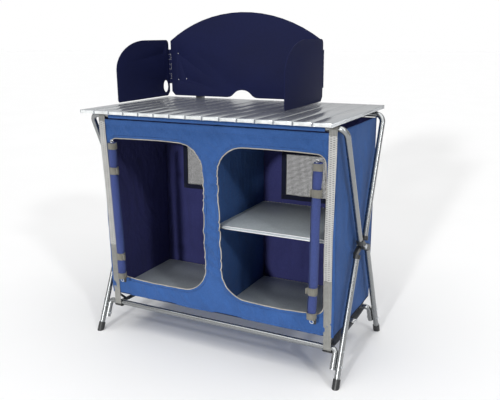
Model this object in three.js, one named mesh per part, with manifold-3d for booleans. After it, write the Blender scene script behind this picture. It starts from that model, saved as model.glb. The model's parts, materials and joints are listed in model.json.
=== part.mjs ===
// Camp kitchen table: a roll-up slatted worktop on a folding scissor frame,
// a hanging fabric cupboard with two bays, and a three-panel windscreen.
// Millimetres, +Z up, +X to the right and +Y to the rear. The origin is on the
// ground, midway between the four feet.

import * as THREE from 'three';
import { mergeVertices } from 'three/addons/utils/BufferGeometryUtils.js';
import Module from 'manifold-3d';

const wasm = await Module();
wasm.setup();

// ---------------------------------------------------------------- dimensions

const TOP_HEIGHT = 832;
const TOP_FRONT = -267;
const TOP_DEPTH = 526;
const SLAT_COUNT = 15;
const SLAT_PITCH = 60;
const SLAT_GAP = 2.4;
const SLAT_THICKNESS = 12;
const SLAT_WALL = 2;
const SLAT_CORD_Y = 150;
const SLAT_CORD_RADIUS = 2;

const TUBE_RADIUS = 9.5;
const TUBE_SIDES = 12;
const BEND_RADIUS = 28;
const BEND_STEPS = 5;
const LEG_X = 466;
const PIVOT_Z = 400;
const TOP_RAIL_Y = 190;
const TOP_RAIL_Z = 808;
const UPPER_OFFSET = 15;
const LOWER_OFFSET = 45;
const FOOT_Y = 226;
const LOWER_RAIL_Z = 108;
const LOWER_BEND_RADIUS = 12;
const RAIL_TAIL = 58;

const SOCKET_RADIUS = 12;
const SOCKET_LENGTH = 14;
const SOCKET_START = 14;
const PLATE_WIDTH = 20;
const PLATE_THICKNESS = 11;
const PLATE_GAP = 1;
const PIN_RADIUS = 4;
const PIN_HEAD_RADIUS = 8;
const PIN_HEAD_THICKNESS = 3;
const FOOT_CAP_RADIUS = 12;
const FOOT_CAP_LENGTH = 30;
const FIT_GAP = 0.3;

const CABINET_X = 8;
const CABINET_HALF_WIDTH = 433;
const CABINET_BOTTOM = 148;
const CABINET_TOP = 795;
const CABINET_HALF_DEPTH_TOP = 197.5;
const CABINET_HALF_DEPTH_BOTTOM = 185;
const FABRIC = 3;
const DIVIDER_X = 16;
const OPENING_TOP = 729;
const OPENING_BOTTOM = 224;
const OPENING_RADIUS = 85;
const OPENING_OUTER_RADIUS = 30;
const OPENING_LEFT = [-388, -14];
const OPENING_RIGHT = [46, 408];
const WINDOW_SIZE = [244, 156];
const WINDOW_Z = 568;
const BOARD_THICKNESS = 8;
const BOARD_HALF_DEPTH = 177;
const SHELF_TOP = 462;

const DOOR_ROLL_RADIUS = 16;
// Each rolled door's lower and upper end, in X and Z.
const DOOR_ROLL_ENDS = {
  left: [[-354, 228], [-363, 716]],
  right: [[378, 217], [392, 708]],
};
const STRAP_X = 413;
const STRAP_WIDTH = 26;
const STRAP_THICKNESS = 1.5;
const UPPER_STRAP_CLEAR = 30;
const UPPER_STRAP_REACH = 470;
const LOWER_STRAP_START = 330;
const BASE_STRAP_SAG = 6;

const SCREEN_LEFT = -436;
const SCREEN_RIGHT = 218;
const SCREEN_THICKNESS = 3;
const SCREEN_BOTTOM = 837;
const SCREEN_EDGE_HEIGHT = 214;
const SCREEN_ARCH_HEIGHT = 317;
const SCREEN_NOTCH_WIDTH = 136;
const SCREEN_NOTCH_HEIGHT = 29;
const WING_LENGTH = 338;
const WING_HEIGHT = 218;
const WING_FRONT_HEIGHT = 112;
const WING_CURVE_LENGTH = 178;
const WING_CORNER = 20;
const PANEL_CHAMFER = 16;
const PANEL_EDGE_GAP = 1;
const HOSE_HOLE_BACK = 34;
const HOSE_HOLE_UP = 38;
const HOSE_HOLE_HALF = [17, 24];
// Small holes: how far each is from the left hinge corner, and its height above the panel's bottom.
const SCREW_HOLE_RADIUS = 2;
const WING_SCREW_HOLES = [[51, 167], [33, 151]];
const REAR_SCREW_HOLES = [[39.5, 166], [38, 63], [76, 67]];
const HINGE_RADIUS = 4.5;
const HINGE_PIN_RADIUS = 1.5;
const HINGE_LOW = 884;
const HINGE_HIGH = 1018;
const HINGE_KNUCKLES = 7;
const CLIP_WIDTH = 40;
const CLIP_THICKNESS = 2.2;
const CLIP_RISE = 30;
const CLIP_HOOK = 34;
const CLIP_X = [-300, 96];

// Worked out from the dimensions above.
const TOP_REAR = TOP_FRONT + TOP_DEPTH;
const TOP_UNDERSIDE = TOP_HEIGHT - SLAT_THICKNESS;
const SCREEN_Y = TOP_REAR + 2 + SCREEN_THICKNESS / 2;
// The hinge lines lie just in front of the rear panel, so that the wings fold flat on it.
const HINGE_OFFSET = SCREEN_THICKNESS / 2 + FIT_GAP;
const HINGE_Y = SCREEN_Y - HINGE_OFFSET;
const WALL_LEAN = Math.atan(
  (CABINET_HALF_DEPTH_TOP - CABINET_HALF_DEPTH_BOTTOM) / (CABINET_TOP - CABINET_BOTTOM),
);
const LOWER_SLOPE = (FOOT_Y - LOWER_OFFSET) / PIVOT_Z;
const UPPER_SLOPE = (TOP_RAIL_Y - UPPER_OFFSET) / (TOP_RAIL_Z - PIVOT_Z);

// ----------------------------------------------------------------- materials

const metal = (color, roughness) => new THREE.MeshStandardMaterial({ color, roughness, metalness: 0.9 });
const matte = (color, roughness) => new THREE.MeshStandardMaterial({ color, roughness, metalness: 0 });

const SLAT_ALUMINIUM = metal(0xc9ccce, 0.38);
const TUBE_ALUMINIUM = metal(0xb9bec2, 0.32);
const PIN_STEEL = metal(0x8d9194, 0.35);
const BLACK_PLASTIC = matte(0x16181a, 0.5);
const GREY_PLASTIC = matte(0x2c3034, 0.5);
const ELASTIC = matte(0x1b1c1e, 0.85);
const BLUE_CLOTH = matte(0x3f5f9f, 0.88);
const NAVY_CLOTH = matte(0x1c2144, 0.92);
const VIOLET_CLOTH = matte(0x44509c, 0.88);
const MESH_CLOTH = matte(0x9a9ca2, 0.9);
const WEBBING = matte(0xa6a6a0, 0.9);
const BOARD = matte(0x8f9296, 0.55);
const SCREEN_BOARD = matte(0x1b2347, 0.75);

// ------------------------------------------------------------------- helpers

// A path whose samples fall exactly on a list of points.
class PointPath extends THREE.Curve {
  constructor(points) {
    super();
    this.points = points;
  }

  index(u) {
    return Math.round(u * (this.points.length - 1));
  }

  getPointAt(u, target = new THREE.Vector3()) {
    return target.copy(this.points[this.index(u)]);
  }

  getTangentAt(u, target = new THREE.Vector3()) {
    const i = this.index(u);
    const before = this.points[Math.max(i - 1, 0)];
    const after = this.points[Math.min(i + 1, this.points.length - 1)];
    return target.subVectors(after, before).normalize();
  }
}

// The corner list with each inner corner turned into an arc of the given radius.
function rounded(corners, radius, steps) {
  const points = [corners[0]];
  for (let i = 1; i < corners.length - 1; i += 1) {
    const corner = corners[i];
    const back = corners[i - 1].clone().sub(corner).normalize();
    const ahead = corners[i + 1].clone().sub(corner).normalize();
    const half = back.angleTo(ahead) / 2;
    const tangent = radius / Math.tan(half);
    const inward = back.clone().add(ahead).normalize();
    const centre = corner.clone().addScaledVector(inward, radius / Math.sin(half));
    const from = corner.clone().addScaledVector(back, tangent).sub(centre);
    const axis = new THREE.Vector3().crossVectors(ahead, back).normalize();
    for (let k = 0; k <= steps; k += 1) {
      const turn = ((Math.PI - 2 * half) * k) / steps;
      points.push(from.clone().applyAxisAngle(axis, turn).add(centre));
    }
  }
  points.push(corners[corners.length - 1]);
  return points;
}

function circle(radius, sides) {
  const outline = Array.from({ length: sides }, (_, i) => {
    const angle = ((i + 0.5) * 2 * Math.PI) / sides;
    return new THREE.Vector2(radius * Math.cos(angle), radius * Math.sin(angle));
  });
  return new THREE.Shape(outline);
}

function sweep(shape, points) {
  return new THREE.ExtrudeGeometry(shape, {
    steps: points.length - 1,
    extrudePath: new PointPath(points),
    bevelEnabled: false,
  });
}

function tube(points, radius = TUBE_RADIUS, sides = TUBE_SIDES) {
  return sweep(circle(radius, sides), points);
}

// A straight round rod between two points.
function rod(from, to, radius, sides = 16) {
  const along = to.clone().sub(from);
  const geometry = new THREE.CylinderGeometry(radius, radius, along.length(), sides);
  const turn = new THREE.Quaternion().setFromUnitVectors(new THREE.Vector3(0, 1, 0), along.normalize());
  geometry.applyQuaternion(turn);
  const middle = from.clone().add(to).multiplyScalar(0.5);
  return geometry.translate(middle.x, middle.y, middle.z);
}

function box(low, high) {
  const size = high.map((value, i) => value - low[i]);
  const geometry = new THREE.BoxGeometry(...size);
  return geometry.translate(...high.map((value, i) => (value + low[i]) / 2));
}

function plate(shape, thickness) {
  return new THREE.ExtrudeGeometry(shape, { depth: thickness, bevelEnabled: false, curveSegments: 8 });
}

// A shape drawn in X and Z, extruded towards +Y from y.
function uprightPlate(shape, y, thickness) {
  const geometry = plate(shape, thickness);
  return geometry.rotateX(Math.PI / 2).translate(0, y + thickness, 0);
}

// A shape drawn in Y and Z, extruded towards +X from x.
function sidePlate(shape, x, thickness) {
  const geometry = plate(shape, thickness);
  return geometry.rotateX(Math.PI / 2).rotateZ(Math.PI / 2).translate(x, 0, 0);
}

function toSolid(geometry) {
  const plain = geometry.clone();
  plain.deleteAttribute('normal');
  plain.deleteAttribute('uv');
  const merged = mergeVertices(plain, 1e-4);
  return new wasm.Manifold(new wasm.Mesh({
    numProp: 3,
    vertProperties: new Float32Array(merged.attributes.position.array),
    triVerts: new Uint32Array(merged.index.array),
  }));
}

// The joined geometries with the cutters taken away.
function carve(geometries, cutters = []) {
  let solid = toSolid(geometries[0]);
  for (const geometry of geometries.slice(1)) {
    solid = solid.add(toSolid(geometry));
  }
  for (const cutter of cutters) {
    solid = solid.subtract(toSolid(cutter));
  }
  const mesh = solid.getMesh();
  const result = new THREE.BufferGeometry();
  result.setAttribute('position', new THREE.BufferAttribute(mesh.vertProperties, 3));
  result.setIndex(new THREE.BufferAttribute(mesh.triVerts, 1));
  result.computeVertexNormals();
  return result;
}

const table = new THREE.Group();

function add(name, geometry, material) {
  const mesh = new THREE.Mesh(geometry, material);
  mesh.name = name;
  table.add(mesh);
}

const point = (x, y, z) => new THREE.Vector3(x, y, z);
const SIDES = [['left', -1], ['right', 1]];

// Two crossing leg frames. `face` is -1 for a frame's front half and +1 for its rear half.
const upperLegY = (face, z) => face * (UPPER_OFFSET + UPPER_SLOPE * (z - PIVOT_Z));
const lowerLegY = (face, z) => face * (LOWER_OFFSET + LOWER_SLOPE * (PIVOT_Z - z));
const upperLegPoint = (side, face, z) => point(side * LEG_X, upperLegY(face, z), z);
const lowerLegPoint = (side, face, z) => point(side * LEG_X, lowerLegY(face, z), z);

// ------------------------------------------------------------------- worktop

// An aluminium channel: a flat top with two flanges and inturned lips.
function slatSection() {
  const half = (SLAT_PITCH - SLAT_GAP) / 2;
  const inner = half - SLAT_WALL;
  const lip = inner - 5;
  const low = -SLAT_THICKNESS;
  return new THREE.Shape([
    new THREE.Vector2(-half + 1, 0),
    new THREE.Vector2(-half, -1),
    new THREE.Vector2(-half, low),
    new THREE.Vector2(-lip, low),
    new THREE.Vector2(-lip, low + SLAT_WALL),
    new THREE.Vector2(-inner, low + SLAT_WALL),
    new THREE.Vector2(-inner, -SLAT_WALL),
    new THREE.Vector2(inner, -SLAT_WALL),
    new THREE.Vector2(inner, low + SLAT_WALL),
    new THREE.Vector2(lip, low + SLAT_WALL),
    new THREE.Vector2(lip, low),
    new THREE.Vector2(half, low),
    new THREE.Vector2(half, -1),
    new THREE.Vector2(half - 1, 0),
  ]);
}

function addWorktop() {
  const cordZ = TOP_HEIGHT - SLAT_THICKNESS / 2;
  const first = (-(SLAT_COUNT - 1) / 2) * SLAT_PITCH;
  for (let i = 0; i < SLAT_COUNT; i += 1) {
    const x = first + i * SLAT_PITCH;
    const channel = uprightPlate(slatSection(), TOP_FRONT, TOP_DEPTH).translate(x, 0, TOP_HEIGHT);
    const holes = [-SLAT_CORD_Y, SLAT_CORD_Y].map((y) => rod(
      point(x - SLAT_PITCH, y, cordZ),
      point(x + SLAT_PITCH, y, cordZ),
      SLAT_CORD_RADIUS + 0.6,
      6,
    ));
    add(`slat_${String(i + 1).padStart(2, '0')}`, carve([channel], holes), SLAT_ALUMINIUM);
  }
  const reach = -first + SLAT_PITCH / 2 - 8;
  const loop = rounded([
    point(-reach, -SLAT_CORD_Y, cordZ),
    point(reach, -SLAT_CORD_Y, cordZ),
    point(reach, SLAT_CORD_Y, cordZ),
    point(-reach, SLAT_CORD_Y, cordZ),
  ], 10, 4);
  add('slat_cord', tube(loop, SLAT_CORD_RADIUS, 8), ELASTIC);
}

// --------------------------------------------------------------------- frame

// Top rail and the two upper legs, bent from one tube.
function topTube(face) {
  const legEnd = PIVOT_Z + SOCKET_START + 5;
  const corners = [
    upperLegPoint(-1, face, legEnd),
    point(-LEG_X, face * TOP_RAIL_Y, TOP_RAIL_Z),
    point(LEG_X, face * TOP_RAIL_Y, TOP_RAIL_Z),
    upperLegPoint(1, face, legEnd),
  ];
  return tube(rounded(corners, BEND_RADIUS, BEND_STEPS));
}

function lowerLeg(side, face) {
  return tube([
    lowerLegPoint(side, face, PIVOT_Z - SOCKET_START - 5),
    lowerLegPoint(side, face, 8),
  ]);
}

// A rail between the lower legs, whose bent-down ends lie along them.
function lowerRail(face) {
  const x = LEG_X - 2 * TUBE_RADIUS - FIT_GAP;
  const corners = [
    point(-x, lowerLegY(face, LOWER_RAIL_Z - RAIL_TAIL), LOWER_RAIL_Z - RAIL_TAIL),
    point(-x, lowerLegY(face, LOWER_RAIL_Z), LOWER_RAIL_Z),
    point(x, lowerLegY(face, LOWER_RAIL_Z), LOWER_RAIL_Z),
    point(x, lowerLegY(face, LOWER_RAIL_Z - RAIL_TAIL), LOWER_RAIL_Z - RAIL_TAIL),
  ];
  return tube(rounded(corners, LOWER_BEND_RADIUS, BEND_STEPS));
}

// Unit vector along a leg, from the pivot outwards.
function legDirection(pointOf, side, face, up) {
  const near = pointOf(side, face, PIVOT_Z);
  const far = pointOf(side, face, PIVOT_Z + up * 100);
  return far.sub(near).normalize();
}

// A flat arm of a joint, from the pivot towards a socket.
function jointArm(side, inner, outer, end) {
  const length = Math.hypot(end.y, end.z - PIVOT_Z);
  const width = outer - inner;
  const arm = new THREE.BoxGeometry(width, PLATE_WIDTH, length);
  arm.translate(0, 0, length / 2);
  arm.rotateX(-Math.atan2(end.y, end.z - PIVOT_Z));
  return arm.translate(side * (inner + width / 2), 0, PIVOT_Z);
}

// A moulded joint: a plate on the pivot with a socket for the upper leg and one for the lower leg.
// `lowerFace` is the side that the frame's lower leg goes to, and its upper leg goes to the other.
function legJoint(side, lowerFace, layer) {
  const inner = layer > 0 ? LEG_X + PLATE_GAP : LEG_X - PLATE_GAP - PLATE_THICKNESS;
  const outer = inner + PLATE_THICKNESS;
  const bodies = [rod(point(side * inner, 0, PIVOT_Z), point(side * outer, 0, PIVOT_Z), PLATE_WIDTH / 2 + 2)];
  const cutters = [rod(
    point(side * (inner - 1), 0, PIVOT_Z),
    point(side * (outer + 1), 0, PIVOT_Z),
    PIN_RADIUS + FIT_GAP,
  )];
  for (const [pointOf, face, up] of [[upperLegPoint, -lowerFace, 1], [lowerLegPoint, lowerFace, -1]]) {
    const along = legDirection(pointOf, side, face, up);
    const start = pointOf(side, face, PIVOT_Z + up * SOCKET_START);
    const mouth = start.clone().addScaledVector(along, SOCKET_LENGTH);
    bodies.push(rod(start, mouth, SOCKET_RADIUS));
    bodies.push(jointArm(side, inner, outer, start.clone().addScaledVector(along, 6)));
    cutters.push(rod(
      start.clone().addScaledVector(along, 4),
      mouth.clone().addScaledVector(along, 1),
      TUBE_RADIUS + FIT_GAP,
    ));
  }
  return carve(bodies, cutters);
}

// The pin through both plates, with a head at each end.
function pivotPin(side) {
  const reach = PLATE_GAP + PLATE_THICKNESS + FIT_GAP;
  const end = reach + PIN_HEAD_THICKNESS;
  const profile = [
    new THREE.Vector2(0, -end),
    new THREE.Vector2(PIN_HEAD_RADIUS, -end),
    new THREE.Vector2(PIN_HEAD_RADIUS, -reach),
    new THREE.Vector2(PIN_RADIUS, -reach),
    new THREE.Vector2(PIN_RADIUS, reach),
    new THREE.Vector2(PIN_HEAD_RADIUS, reach),
    new THREE.Vector2(PIN_HEAD_RADIUS, end),
    new THREE.Vector2(0, end),
  ];
  return new THREE.LatheGeometry(profile, 16).rotateZ(-Math.PI / 2).translate(side * LEG_X, 0, PIVOT_Z);
}

// A cap over the leg's end, cut flat where it meets the ground.
function footCap(side, face) {
  const along = legDirection(lowerLegPoint, side, face, -1);
  const ground = lowerLegPoint(side, face, 0);
  const outer = rod(
    ground.clone().addScaledVector(along, -FOOT_CAP_LENGTH),
    ground.clone().addScaledVector(along, 10),
    FOOT_CAP_RADIUS,
  );
  const bore = rod(
    ground.clone().addScaledVector(along, -FOOT_CAP_LENGTH - 1),
    ground.clone().addScaledVector(along, -8),
    TUBE_RADIUS + FIT_GAP,
  );
  const belowGround = box([side * LEG_X - 50, ground.y - 50, -50], [side * LEG_X + 50, ground.y + 50, 0]);
  return carve([outer], [bore, belowGround]);
}

function addFrame() {
  for (const [faceName, face] of [['front', -1], ['rear', 1]]) {
    add(`${faceName}_top_tube`, topTube(face), TUBE_ALUMINIUM);
    add(`${faceName}_lower_rail`, lowerRail(face), TUBE_ALUMINIUM);
    for (const [sideName, side] of SIDES) {
      add(`${faceName}_leg_${sideName}`, lowerLeg(side, face), TUBE_ALUMINIUM);
      add(`${faceName}_foot_cap_${sideName}`, footCap(side, face), BLACK_PLASTIC);
    }
  }
  for (const [sideName, side] of SIDES) {
    add(`outer_joint_${sideName}`, legJoint(side, 1, 1), GREY_PLASTIC);
    add(`inner_joint_${sideName}`, legJoint(side, -1, -1), BLACK_PLASTIC);
    add(`pivot_pin_${sideName}`, pivotPin(side), PIN_STEEL);
  }
}

// ------------------------------------------------------------------- cabinet

// A rectangle in two coordinates with one corner radius at each of its ends in the first.
function roundedPath(Kind, low, high, lowRadius, highRadius) {
  const path = new Kind();
  path.moveTo(low[0] + lowRadius, low[1]);
  path.lineTo(high[0] - highRadius, low[1]);
  path.absarc(high[0] - highRadius, low[1] + highRadius, highRadius, -Math.PI / 2, 0);
  path.absarc(high[0] - highRadius, high[1] - highRadius, highRadius, 0, Math.PI / 2);
  path.absarc(low[0] + lowRadius, high[1] - lowRadius, lowRadius, Math.PI / 2, Math.PI);
  path.absarc(low[0] + lowRadius, low[1] + lowRadius, lowRadius, Math.PI, 1.5 * Math.PI);
  return path;
}

function plainRectangle(Kind, low, high) {
  const path = new Kind();
  path.moveTo(low[0], low[1]);
  path.lineTo(high[0], low[1]);
  path.lineTo(high[0], high[1]);
  path.lineTo(low[0], high[1]);
  path.closePath();
  return path;
}

const LEFT_END = CABINET_X - CABINET_HALF_WIDTH;
const RIGHT_END = CABINET_X + CABINET_HALF_WIDTH;

// A front or rear wall drawn upright, then leaned outwards at the top. Its middle plane is kept.
function leaningWall(shape, face, thickness) {
  const wall = uprightPlate(shape, -thickness / 2, thickness);
  wall.translate(0, 0, -CABINET_BOTTOM).rotateX(-face * WALL_LEAN);
  return wall.translate(0, face * CABINET_HALF_DEPTH_BOTTOM, CABINET_BOTTOM);
}

function frontWall() {
  const shape = plainRectangle(THREE.Shape, [LEFT_END, CABINET_BOTTOM], [RIGHT_END, CABINET_TOP]);
  shape.holes.push(roundedPath(
    THREE.Path,
    [OPENING_LEFT[0], OPENING_BOTTOM],
    [OPENING_LEFT[1], OPENING_TOP],
    OPENING_OUTER_RADIUS,
    OPENING_RADIUS,
  ));
  shape.holes.push(roundedPath(
    THREE.Path,
    [OPENING_RIGHT[0], OPENING_BOTTOM],
    [OPENING_RIGHT[1], OPENING_TOP],
    OPENING_RADIUS,
    OPENING_OUTER_RADIUS,
  ));
  return leaningWall(shape, -1, FABRIC);
}

// The middle of the left and the right bay.
const BAY_MIDDLES = [(LEFT_END + DIVIDER_X) / 2, (DIVIDER_X + RIGHT_END) / 2];

const windowCorners = (middle, grow) => [
  [middle - WINDOW_SIZE[0] / 2 - grow, WINDOW_Z - WINDOW_SIZE[1] / 2 - grow],
  [middle + WINDOW_SIZE[0] / 2 + grow, WINDOW_Z + WINDOW_SIZE[1] / 2 + grow],
];

function rearWall() {
  const shape = plainRectangle(THREE.Shape, [LEFT_END, CABINET_BOTTOM], [RIGHT_END, CABINET_TOP]);
  const windows = BAY_MIDDLES.map((middle) => {
    const hole = plainRectangle(THREE.Shape, ...windowCorners(middle, FIT_GAP));
    return leaningWall(hole, 1, 3 * FABRIC);
  });
  return carve([leaningWall(shape, 1, FABRIC)], windows);
}

// A wall across the cabinet's depth, between the front and rear walls.
function crossWall(x) {
  const clear = FABRIC / 2 + FIT_GAP;
  const low = CABINET_BOTTOM + FABRIC + FIT_GAP;
  const bottom = CABINET_HALF_DEPTH_BOTTOM - clear;
  const top = CABINET_HALF_DEPTH_TOP - clear;
  const shape = new THREE.Shape([
    new THREE.Vector2(-bottom, low),
    new THREE.Vector2(bottom, low),
    new THREE.Vector2(top, CABINET_TOP),
    new THREE.Vector2(-top, CABINET_TOP),
  ]);
  return sidePlate(shape, x - FABRIC / 2, FABRIC);
}

function addCabinet() {
  add('cabinet_front', frontWall(), BLUE_CLOTH);
  add('cabinet_rear', rearWall(), NAVY_CLOTH);
  add('cabinet_side_left', crossWall(LEFT_END + FABRIC / 2), BLUE_CLOTH);
  add('cabinet_side_right', crossWall(RIGHT_END - FABRIC / 2), BLUE_CLOTH);
  add('cabinet_divider', crossWall(DIVIDER_X), NAVY_CLOTH);
  const depth = CABINET_HALF_DEPTH_BOTTOM - FABRIC / 2 - FIT_GAP;
  const bottom = box([LEFT_END, -depth, CABINET_BOTTOM], [RIGHT_END, depth, CABINET_BOTTOM + FABRIC]);
  add('cabinet_bottom', bottom, NAVY_CLOTH);
  for (const [i, [sideName]] of SIDES.entries()) {
    const net = plainRectangle(THREE.Shape, ...windowCorners(BAY_MIDDLES[i], 0));
    add(`mesh_window_${sideName}`, leaningWall(net, 1, FABRIC / 2), MESH_CLOTH);
  }
}

// Stiff boards: one on each bay's floor, and the right bay's shelf.
function addBoards() {
  const low = CABINET_BOTTOM + FABRIC + FIT_GAP;
  const clear = FABRIC + 3;
  const bays = [[LEFT_END + clear, DIVIDER_X - clear], [DIVIDER_X + clear, RIGHT_END - clear]];
  for (const [i, [sideName]] of SIDES.entries()) {
    const board = box(
      [bays[i][0], -BOARD_HALF_DEPTH, low],
      [bays[i][1], BOARD_HALF_DEPTH, low + BOARD_THICKNESS],
    );
    add(`floor_board_${sideName}`, board, BOARD);
  }
  const shelf = box(
    [bays[1][0], -BOARD_HALF_DEPTH, SHELF_TOP - BOARD_THICKNESS],
    [bays[1][1], BOARD_HALF_DEPTH, SHELF_TOP],
  );
  add('shelf', shelf, BOARD);
}

// The two door flaps, rolled up and tied beside their openings.
function addDoorRolls() {
  const y = -(CABINET_HALF_DEPTH_TOP + FABRIC / 2 + DOOR_ROLL_RADIUS + 1);
  for (const [sideName, [low, high]] of Object.entries(DOOR_ROLL_ENDS)) {
    const roll = rod(point(low[0], y, low[1]), point(high[0], y, high[1]), DOOR_ROLL_RADIUS);
    add(`door_roll_${sideName}`, roll, VIOLET_CLOTH);
  }
}

// -------------------------------------------------------------------- straps

// A webbing band of constant thickness along a line of points in Y and Z.
function band(middleX, line) {
  const offsets = line.map((here, i) => {
    const before = line[Math.max(i - 1, 0)];
    const after = line[Math.min(i + 1, line.length - 1)];
    const along = after.clone().sub(before).normalize();
    return new THREE.Vector2(-along.y, along.x).multiplyScalar(STRAP_THICKNESS / 2);
  });
  const one = line.map((here, i) => here.clone().add(offsets[i]));
  const other = line.map((here, i) => here.clone().sub(offsets[i])).reverse();
  return sidePlate(new THREE.Shape([...one, ...other]), middleX - STRAP_WIDTH / 2, STRAP_WIDTH);
}

// Points on an arc round a rail, from one angle to another.
function wrap(centre, radius, from, to, steps = 10) {
  return Array.from({ length: steps + 1 }, (_, i) => {
    const angle = from + ((to - from) * i) / steps;
    return new THREE.Vector2(centre.x + radius * Math.cos(angle), centre.y + radius * Math.sin(angle));
  });
}

function addStraps() {
  const topRail = new THREE.Vector2(-TOP_RAIL_Y, TOP_RAIL_Z);
  const lowRail = new THREE.Vector2(lowerLegY(-1, LOWER_RAIL_Z), LOWER_RAIL_Z);
  const near = TUBE_RADIUS + FIT_GAP + STRAP_THICKNESS / 2;
  const layer = STRAP_THICKNESS + FIT_GAP;
  const lift = near + layer;
  const down = lowRail.clone().sub(topRail).normalize();
  const outward = new THREE.Vector2(down.y, -down.x);
  for (const [sideName, side] of SIDES) {
    const x = CABINET_X + side * STRAP_X;
    const upper = [
      ...wrap(topRail, near, -0.15 * Math.PI, 0.9 * Math.PI),
      topRail.clone().addScaledVector(outward, lift).addScaledVector(down, UPPER_STRAP_CLEAR),
      topRail.clone().addScaledVector(outward, lift).addScaledVector(down, UPPER_STRAP_REACH),
    ];
    add(`strap_upper_${sideName}`, band(x, upper), WEBBING);
    const lower = [
      topRail.clone().addScaledVector(outward, near).addScaledVector(down, LOWER_STRAP_START),
      ...wrap(lowRail, near, Math.PI, 1.6 * Math.PI),
    ];
    add(`strap_lower_${sideName}`, band(x, lower), WEBBING);
    const reach = -lowRail.x - near - layer;
    const across = [
      new THREE.Vector2(-reach, LOWER_RAIL_Z - 2),
      new THREE.Vector2(0, LOWER_RAIL_Z - 2 - BASE_STRAP_SAG),
      new THREE.Vector2(reach, LOWER_RAIL_Z - 2),
    ];
    add(`base_strap_${sideName}`, band(x, across), WEBBING);
  }
}

// ---------------------------------------------------------------- windscreen

// The rear panel's outline: an arched top and a bell-shaped notch at the bottom.
function screenOutline() {
  const middle = (SCREEN_LEFT + SCREEN_RIGHT) / 2;
  const half = (SCREEN_RIGHT - SCREEN_LEFT) / 2 - HINGE_RADIUS - PANEL_EDGE_GAP;
  const rise = SCREEN_ARCH_HEIGHT - SCREEN_EDGE_HEIGHT;
  const radius = (half * half + rise * rise) / (2 * rise);
  const swing = Math.asin(half / radius);
  const notch = SCREEN_NOTCH_WIDTH / 2;
  const shape = new THREE.Shape();
  shape.moveTo(middle - half + PANEL_CHAMFER, SCREEN_BOTTOM);
  shape.lineTo(middle - notch, SCREEN_BOTTOM);
  shape.bezierCurveTo(
    middle - notch * 0.5,
    SCREEN_BOTTOM,
    middle - notch * 0.6,
    SCREEN_BOTTOM + SCREEN_NOTCH_HEIGHT,
    middle,
    SCREEN_BOTTOM + SCREEN_NOTCH_HEIGHT,
  );
  shape.bezierCurveTo(
    middle + notch * 0.6,
    SCREEN_BOTTOM + SCREEN_NOTCH_HEIGHT,
    middle + notch * 0.5,
    SCREEN_BOTTOM,
    middle + notch,
    SCREEN_BOTTOM,
  );
  shape.lineTo(middle + half - PANEL_CHAMFER, SCREEN_BOTTOM);
  shape.lineTo(middle + half, SCREEN_BOTTOM + PANEL_CHAMFER);
  const archCentre = SCREEN_BOTTOM + SCREEN_ARCH_HEIGHT - radius;
  shape.absarc(middle, archCentre, radius, Math.PI / 2 - swing, Math.PI / 2 + swing);
  shape.lineTo(middle - half, SCREEN_BOTTOM + PANEL_CHAMFER);
  shape.closePath();
  return shape;
}

// A straight round rod on the hinge line at x, between two heights.
function hingeRod(x, low, high, radius, sides) {
  return rod(point(x, HINGE_Y, low), point(x, HINGE_Y, high), radius, sides);
}

// The lower and upper end of every second knuckle, counted from the first that a panel carries.
function knuckleSpans(first) {
  const pitch = (HINGE_HIGH - HINGE_LOW) / HINGE_KNUCKLES;
  const spans = [];
  for (let i = first; i < HINGE_KNUCKLES; i += 2) {
    const low = HINGE_LOW + i * pitch;
    spans.push([low + FIT_GAP, low + pitch - FIT_GAP]);
  }
  return spans;
}

function hingeKnuckles(x, first) {
  return knuckleSpans(first).map(([low, high]) => hingeRod(x, low, high, HINGE_RADIUS, 12));
}

// The leaf of plate that joins each knuckle to its panel.
function hingeLeaves(x, first, near, far) {
  return knuckleSpans(first).map(([low, high]) => box(
    [x + near[0], HINGE_Y + near[1], low],
    [x + far[0], HINGE_Y + far[1], high],
  ));
}

function hingeBore(x) {
  return hingeRod(x, HINGE_LOW - 5, HINGE_HIGH + 5, HINGE_PIN_RADIUS + FIT_GAP, 8);
}

// How far a leaf reaches from the hinge line, and where its two faces are beside that line.
const LEAF_REACH = HINGE_RADIUS + 3;
const LEAF_NEAR = FIT_GAP;
const LEAF_FAR = FIT_GAP + SCREEN_THICKNESS;

function rearScrewHoles() {
  return REAR_SCREW_HOLES.map(([along, up]) => rod(
    point(SCREEN_LEFT + along, SCREEN_Y - SCREEN_THICKNESS, SCREEN_BOTTOM + up),
    point(SCREEN_LEFT + along, SCREEN_Y + SCREEN_THICKNESS, SCREEN_BOTTOM + up),
    SCREW_HOLE_RADIUS,
  ));
}

function wingScrewHoles(x) {
  return WING_SCREW_HOLES.map(([back, up]) => rod(
    point(x - 2 * SCREEN_THICKNESS, SCREEN_Y - back, SCREEN_BOTTOM + up),
    point(x + SCREEN_THICKNESS, SCREEN_Y - back, SCREEN_BOTTOM + up),
    SCREW_HOLE_RADIUS,
  ));
}

function screenRear() {
  return carve([
    uprightPlate(screenOutline(), SCREEN_Y - SCREEN_THICKNESS / 2, SCREEN_THICKNESS),
    ...hingeKnuckles(SCREEN_LEFT, 0),
    ...hingeKnuckles(SCREEN_RIGHT, 0),
    ...hingeLeaves(SCREEN_LEFT, 0, [0, LEAF_NEAR], [LEAF_REACH, LEAF_FAR]),
    ...hingeLeaves(SCREEN_RIGHT, 0, [-LEAF_REACH, LEAF_NEAR], [0, LEAF_FAR]),
  ], [hingeBore(SCREEN_LEFT), hingeBore(SCREEN_RIGHT), ...rearScrewHoles()]);
}

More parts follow.
